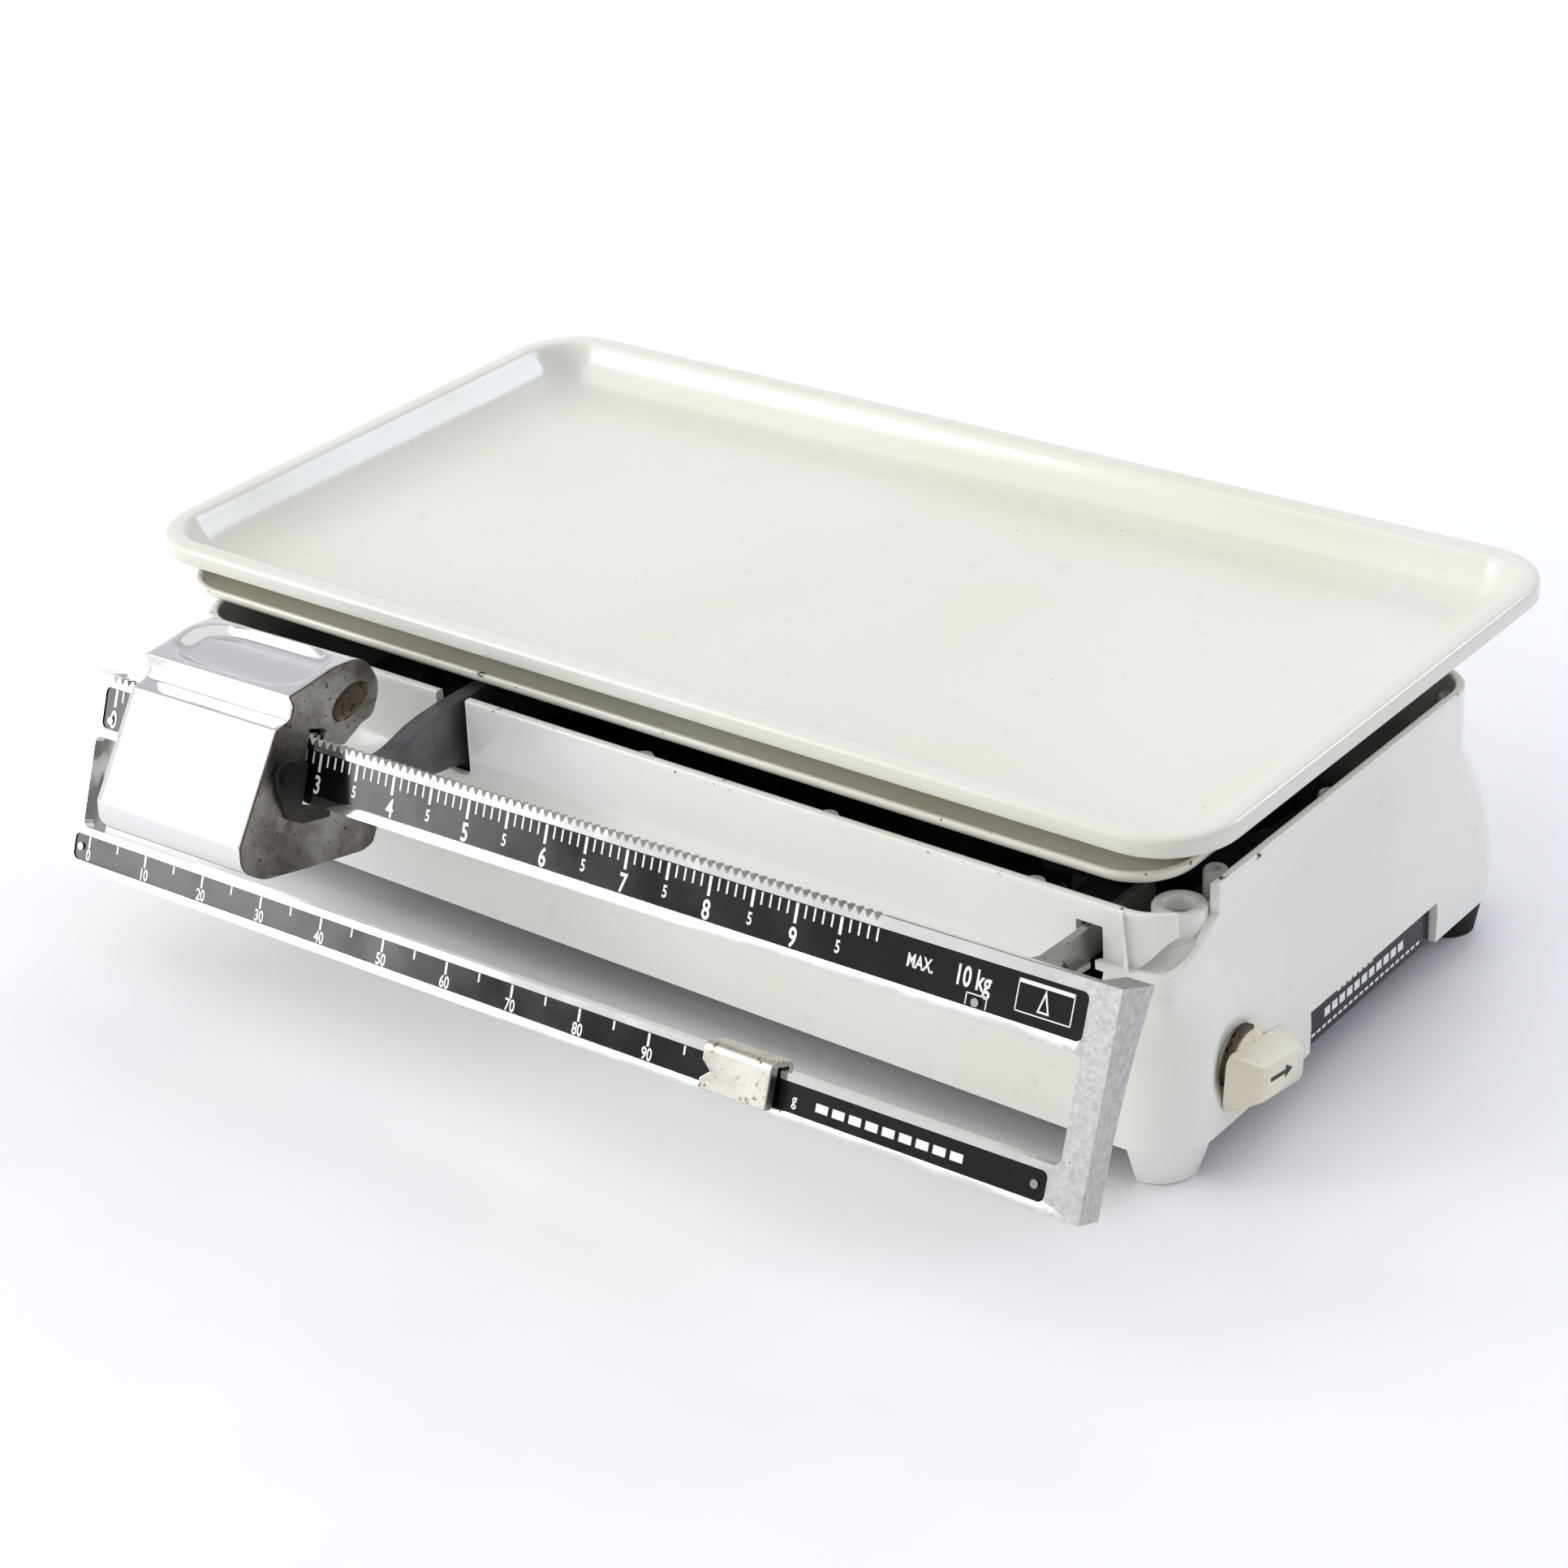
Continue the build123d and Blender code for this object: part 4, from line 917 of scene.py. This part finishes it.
def cornerFeet():
    # quarter-round feet under the front corners, narrowing downwards
    points, faces = [], []
    for side in (-1, 1):
        outerX = house["right"] + 6.2 if side > 0 else house["left"] - 6.2
        innerX, innerY = outerX - side * 15, house["front"] - 6.2 + 15
        angle = np.linspace(0, np.pi / 2, 18)
        rows = []
        for height, reach in ((13.0, 14.3), (12.0, 14.2), (6.0, 12.1), (0.7, 10.2), (0.2, 9.9), (0.0, 9.4)):
            x = innerX + side * np.r_[0, reach * np.sin(angle)]
            y = innerY - np.r_[0, reach * np.cos(angle)]
            rows.append(np.column_stack([x, y, np.full(len(x), height)]))
        block = np.array(rows)
        count, around = block.shape[:2]
        base = sum(len(p) for p in points)
        points.append(block.reshape(-1, 3))
        faces += (gridQuads(count, around, closeColumns=True) + base).tolist()
        last = base + (count - 1) * around
        faces += [list(range(base, base + around)), list(range(last, last + around))]
    foot = makePiece("corner_feet", np.vstack(points), faces, whiteLacquer, "base", sharp=40, closed=False)
    turnOutwards(foot)


cornerFeet()

# screw pillars just inside the wall
pillars = [(-1, -46.5), (57, -46.5), (117, -46.5), (149, -19.5), (152.8, 25.2), (152.3, 84)]
for number, (x, y) in enumerate(pillars):
    pillar = [(3.6, 14.2), (3.2, 60.0), (3.0, 65.4), (2.6, 66.0), (1.4, 66.0), (1.3, 64.0)]
    points, faces = lathe(pillar, (x, y, 0), around=24)
    makePiece(f"pillar_{number}", points, faces, whiteLacquer, "base", sharp=40)
print("housing done")

# lock knob: a disc with a wedge grip, an arrow pressed into its face
knob = {"centre": (-31.0, 25.0), "arrowFace": 171.34, "tilt": -9.0}


def knobGrip():
    sections = [
        (164.8, 2.5, 12.9, 7.3, 2.8), (165.8, 2.7, 12.8, 7.1, 2.6), (168.2, 3.7, 11.4, 5.9, 2.2),
        (170.4, 4.8, 9.9, 4.7, 1.8), (171.0, 5.2, 9.5, 4.3, 1.6), (171.3, 5.3, 8.9, 3.8, 1.4),
    ]
    tilt = radians(knob["tilt"])
    turn = np.array([[np.cos(tilt), -np.sin(tilt)], [np.sin(tilt), np.cos(tilt)]])
    rows = []
    for x, shift, halfLength, halfDepth, radius in sections:
        ring = roundedRing(halfLength, halfDepth, radius, 8, 6) + [shift, -2.0 - 0.25 * shift]
        ring = ring @ turn.T + knob["centre"]
        rows.append(np.column_stack([np.full(len(ring), x), ring]))
    points = np.array(rows)
    count, around = points.shape[:2]
    faces = gridQuads(count, around, closeColumns=True).tolist()
    faces += [list(range(around)), list(range((count - 1) * around, count * around))]
    makePiece("knob_grip", points, faces, ivoryPlastic, "lock", ("lock_knob",), 50)
    disc = [
        (3.0, 152.9), (7.2, 152.9), (7.8, 153.4), (7.8, 164.2), (7.4, 164.8), (6.8, 165.0), (2.0, 165.0),
    ]
    points, faces = lathe(disc, (0, knob["centre"][0], knob["centre"][1]), axis="x", around=48)
    makePiece("knob_disc", points, faces, ivoryPlastic, "lock", sharp=40)
    # arrow stamped in the face: it shows which way to turn
    arrow = np.array([
        (-1.5, -0.55), (5.0, -0.55), (5.0, -1.7), (8.2, 0), (5.0, 1.7), (5.0, 0.55), (-1.5, 0.55),
    ])
    arrow = (arrow + [0.9, -2.6]) @ turn.T + knob["centre"]
    stamp = np.column_stack([np.full(len(arrow), knob["arrowFace"]), arrow])
    makePiece("knob_arrow", stamp, [[0, 1, 5, 6], [1, 2, 3, 4, 5]], dippedSteel, "lock", closed=False)
    # spring clip that holds the disc, showing past its upper edge
    sweep = np.linspace(radians(75), radians(200), 30)
    rows = []
    for reach, x in ((7.95, 162.5), (8.9, 162.5), (9.0, 164.6), (8.9, 164.8), (7.95, 164.8)):
        spot = np.column_stack([reach * np.cos(sweep), reach * np.sin(sweep)]) + knob["centre"]
        rows.append(np.column_stack([np.full(30, x), spot]))
    faces = gridQuads(5, 30, closeRows=True).tolist()
    faces += [[30 * i for i in range(5)], [30 * i + 29 for i in range(5)]]
    makePiece("clip_ring", np.array(rows), faces, rustedRecess, "base", sharp=40)


knobGrip()


# label: each row of dashes is (z, height, start, end, dash, gap)
label = {
    "face": 163.08,
    "rows": [
        (20.6, 0.8, 12.0, 30.0, 1.7, 0.8),
        (16.6, 2.4, 6.0, 44.0, 2.6, 0.9),
        (13.9, 0.8, 0.0, 52.0, 1.7, 0.8),
    ],
}


def labelLines():
    # rows of plain dashes stand for the small print
    rectangles = []
    for z, height, start, end, dash, gap in label["rows"]:
        y = start
        while y + dash < end:
            rectangles.append((y, y + dash, z, z + height))
            y += dash + gap

    def onLabel(across, up):
        return np.column_stack([np.full(len(across), label["face"]), across, up])

    collectMarks("label_lines", rectangles, [], onLabel, screenInk, "base")


labelLines()
print("lock and label done")

# camera's azimuth, elevation and roll in degrees, its place in metres
view = {
    "azimuth": 40.159, "elevation": 28.199, "roll": -4.1685,
    "place": (0.5282, -0.6202, 0.4732), "lens": 81.17,
}

# studio: pale floor rolling up into a pale backdrop that faces the camera
studio = {"width": 6000.0, "near": -3200.0, "rear": 2600.0, "bend": 900.0, "high": 4200.0}


def backdrop():
    # the floor runs back flat, then bends up through a quarter turn into the wall
    angle = np.linspace(0, np.pi / 2, 24)
    flat = np.linspace(studio["near"], studio["rear"] - studio["bend"], 8)
    y = np.r_[flat, studio["rear"] - studio["bend"] + studio["bend"] * np.sin(angle[1:]), studio["rear"]]
    z = np.r_[0 * flat, studio["bend"] * (1 - np.cos(angle[1:])), studio["high"]]
    x = np.linspace(-studio["width"] / 2, studio["width"] / 2, 3)
    turn = radians(view["azimuth"])
    across = np.repeat(x[None], len(y), 0)
    grid = np.stack([across, np.repeat(y[:, None], 3, 1), np.repeat(z[:, None], 3, 1)], -1)
    spin = np.array([[np.cos(turn), -np.sin(turn), 0], [np.sin(turn), np.cos(turn), 0], [0, 0, 1]])
    grid = grid @ spin.T
    mesh = bpy.data.meshes.new("backdrop")
    mesh.from_pydata((grid.reshape(-1, 3) * 0.001).tolist(), [], gridQuads(len(y), 3).tolist())
    mesh.polygons.foreach_set("use_smooth", np.ones(len(mesh.polygons), bool))
    sheet = bpy.data.objects.new("backdrop", mesh)
    bpy.context.scene.collection.objects.link(sheet)
    material, tree, surface, place = newMaterial("matt_white_paper", "white_lacquer")
    fibre = noise(tree, place, 60, 3)
    colour = ramp(tree, fibre, [(0.3, toLinear("#F4F4F6")), (0.7, toLinear("#F7F7F8"))])
    connect(tree, surface, Base_Color=colour, Roughness=0.85)
    mesh.materials.append(material)


backdrop()


def standing(side, high, back, place):
    # the transform of a thing at place whose own x, y and z point to side, high and back
    matrix = np.eye(4)
    matrix[:3] = np.column_stack([side, high, back, place])
    return Matrix(matrix.tolist())


def areaLight(name, place, target, width, height, watts, tone, mirrored=True):
    light = bpy.data.lights.new(name, "AREA")
    light.shape, light.size, light.size_y, light.energy = "RECTANGLE", width, height, watts
    light.color = toLinear(tone)[:3]
    lamp = bpy.data.objects.new(name, light)
    place, target = np.array(place, float), np.array(target, float)
    back = (place - target) / np.linalg.norm(place - target)
    side = np.cross([0, 0, 1], back)
    side /= np.linalg.norm(side)
    lamp.matrix_world = standing(side, np.cross(back, side), back, place)
    lamp.visible_glossy = mirrored
    bpy.context.scene.collection.objects.link(lamp)


areaLight("window_left", (-1.3, -0.9, 1.3), (0, 0, 0), 1.4, 1.4, 8, "#FFFFFF")
areaLight("window_rear", (-0.5, 1.7, 1.5), (0, 0, 0), 1.5, 1.5, 9, "#F7FAFF", False)
areaLight("window_low", (-1.5, -1.5, 0.62), (-0.08, -0.1, 0.06), 0.5, 1.2, 14, "#FCFDFF")
areaLight("window_right", (1.1, 1.45, 1.0), (0.1, 0, 0.05), 0.75, 0.6, 8, "#DFE9FF")


def studioAir():
    # pale room: brightest to the left and overhead, dimmer towards the reader's side and the far wall
    world = bpy.data.worlds.new("studio_air")
    bpy.context.scene.world = world
    world.use_nodes = True
    tree = world.node_tree
    direction = addNode(tree, "ShaderNodeTexCoord").outputs["Generated"]
    facing = addNode(
        tree, "ShaderNodeVectorMath", {"operation": "DOT_PRODUCT"}, i0=direction, i1=(-0.62, 0.0, 0.78),
    )
    level = fade(tree, facing.outputs["Value"], -1.0, 1.0)
    stops = [(0.3, toLinear("#9C9DA0")), (0.55, toLinear("#D2D3D5")), (0.75, toLinear("#FAFBFC"))]
    tree.links.new(ramp(tree, level, stops), tree.nodes["Background"].inputs["Color"])
    tree.nodes["Background"].inputs["Strength"].default_value = 0.95


studioAir()
bpy.context.scene.view_settings.view_transform = "Standard"
bpy.context.scene.view_settings.look = "None"

# camera
azimuth, elevation, roll = (radians(view[key]) for key in ("azimuth", "elevation", "roll"))
reach = np.cos(elevation)
back = np.array([np.sin(azimuth) * reach, -np.cos(azimuth) * reach, np.sin(elevation)])
level = np.array([np.cos(azimuth), np.sin(azimuth), 0])
upright = np.cross(back, level)
side = np.cos(roll) * level + np.sin(roll) * upright
high = -np.sin(roll) * level + np.cos(roll) * upright
lens = bpy.data.cameras.new("camera")
lens.lens, lens.sensor_width, lens.clip_start = view["lens"], 36.0, 0.01
camera = bpy.data.objects.new("camera", lens)
camera.matrix_world = standing(side, high, back, view["place"])
bpy.context.scene.collection.objects.link(camera)
bpy.context.scene.camera = camera

print("scene ready")
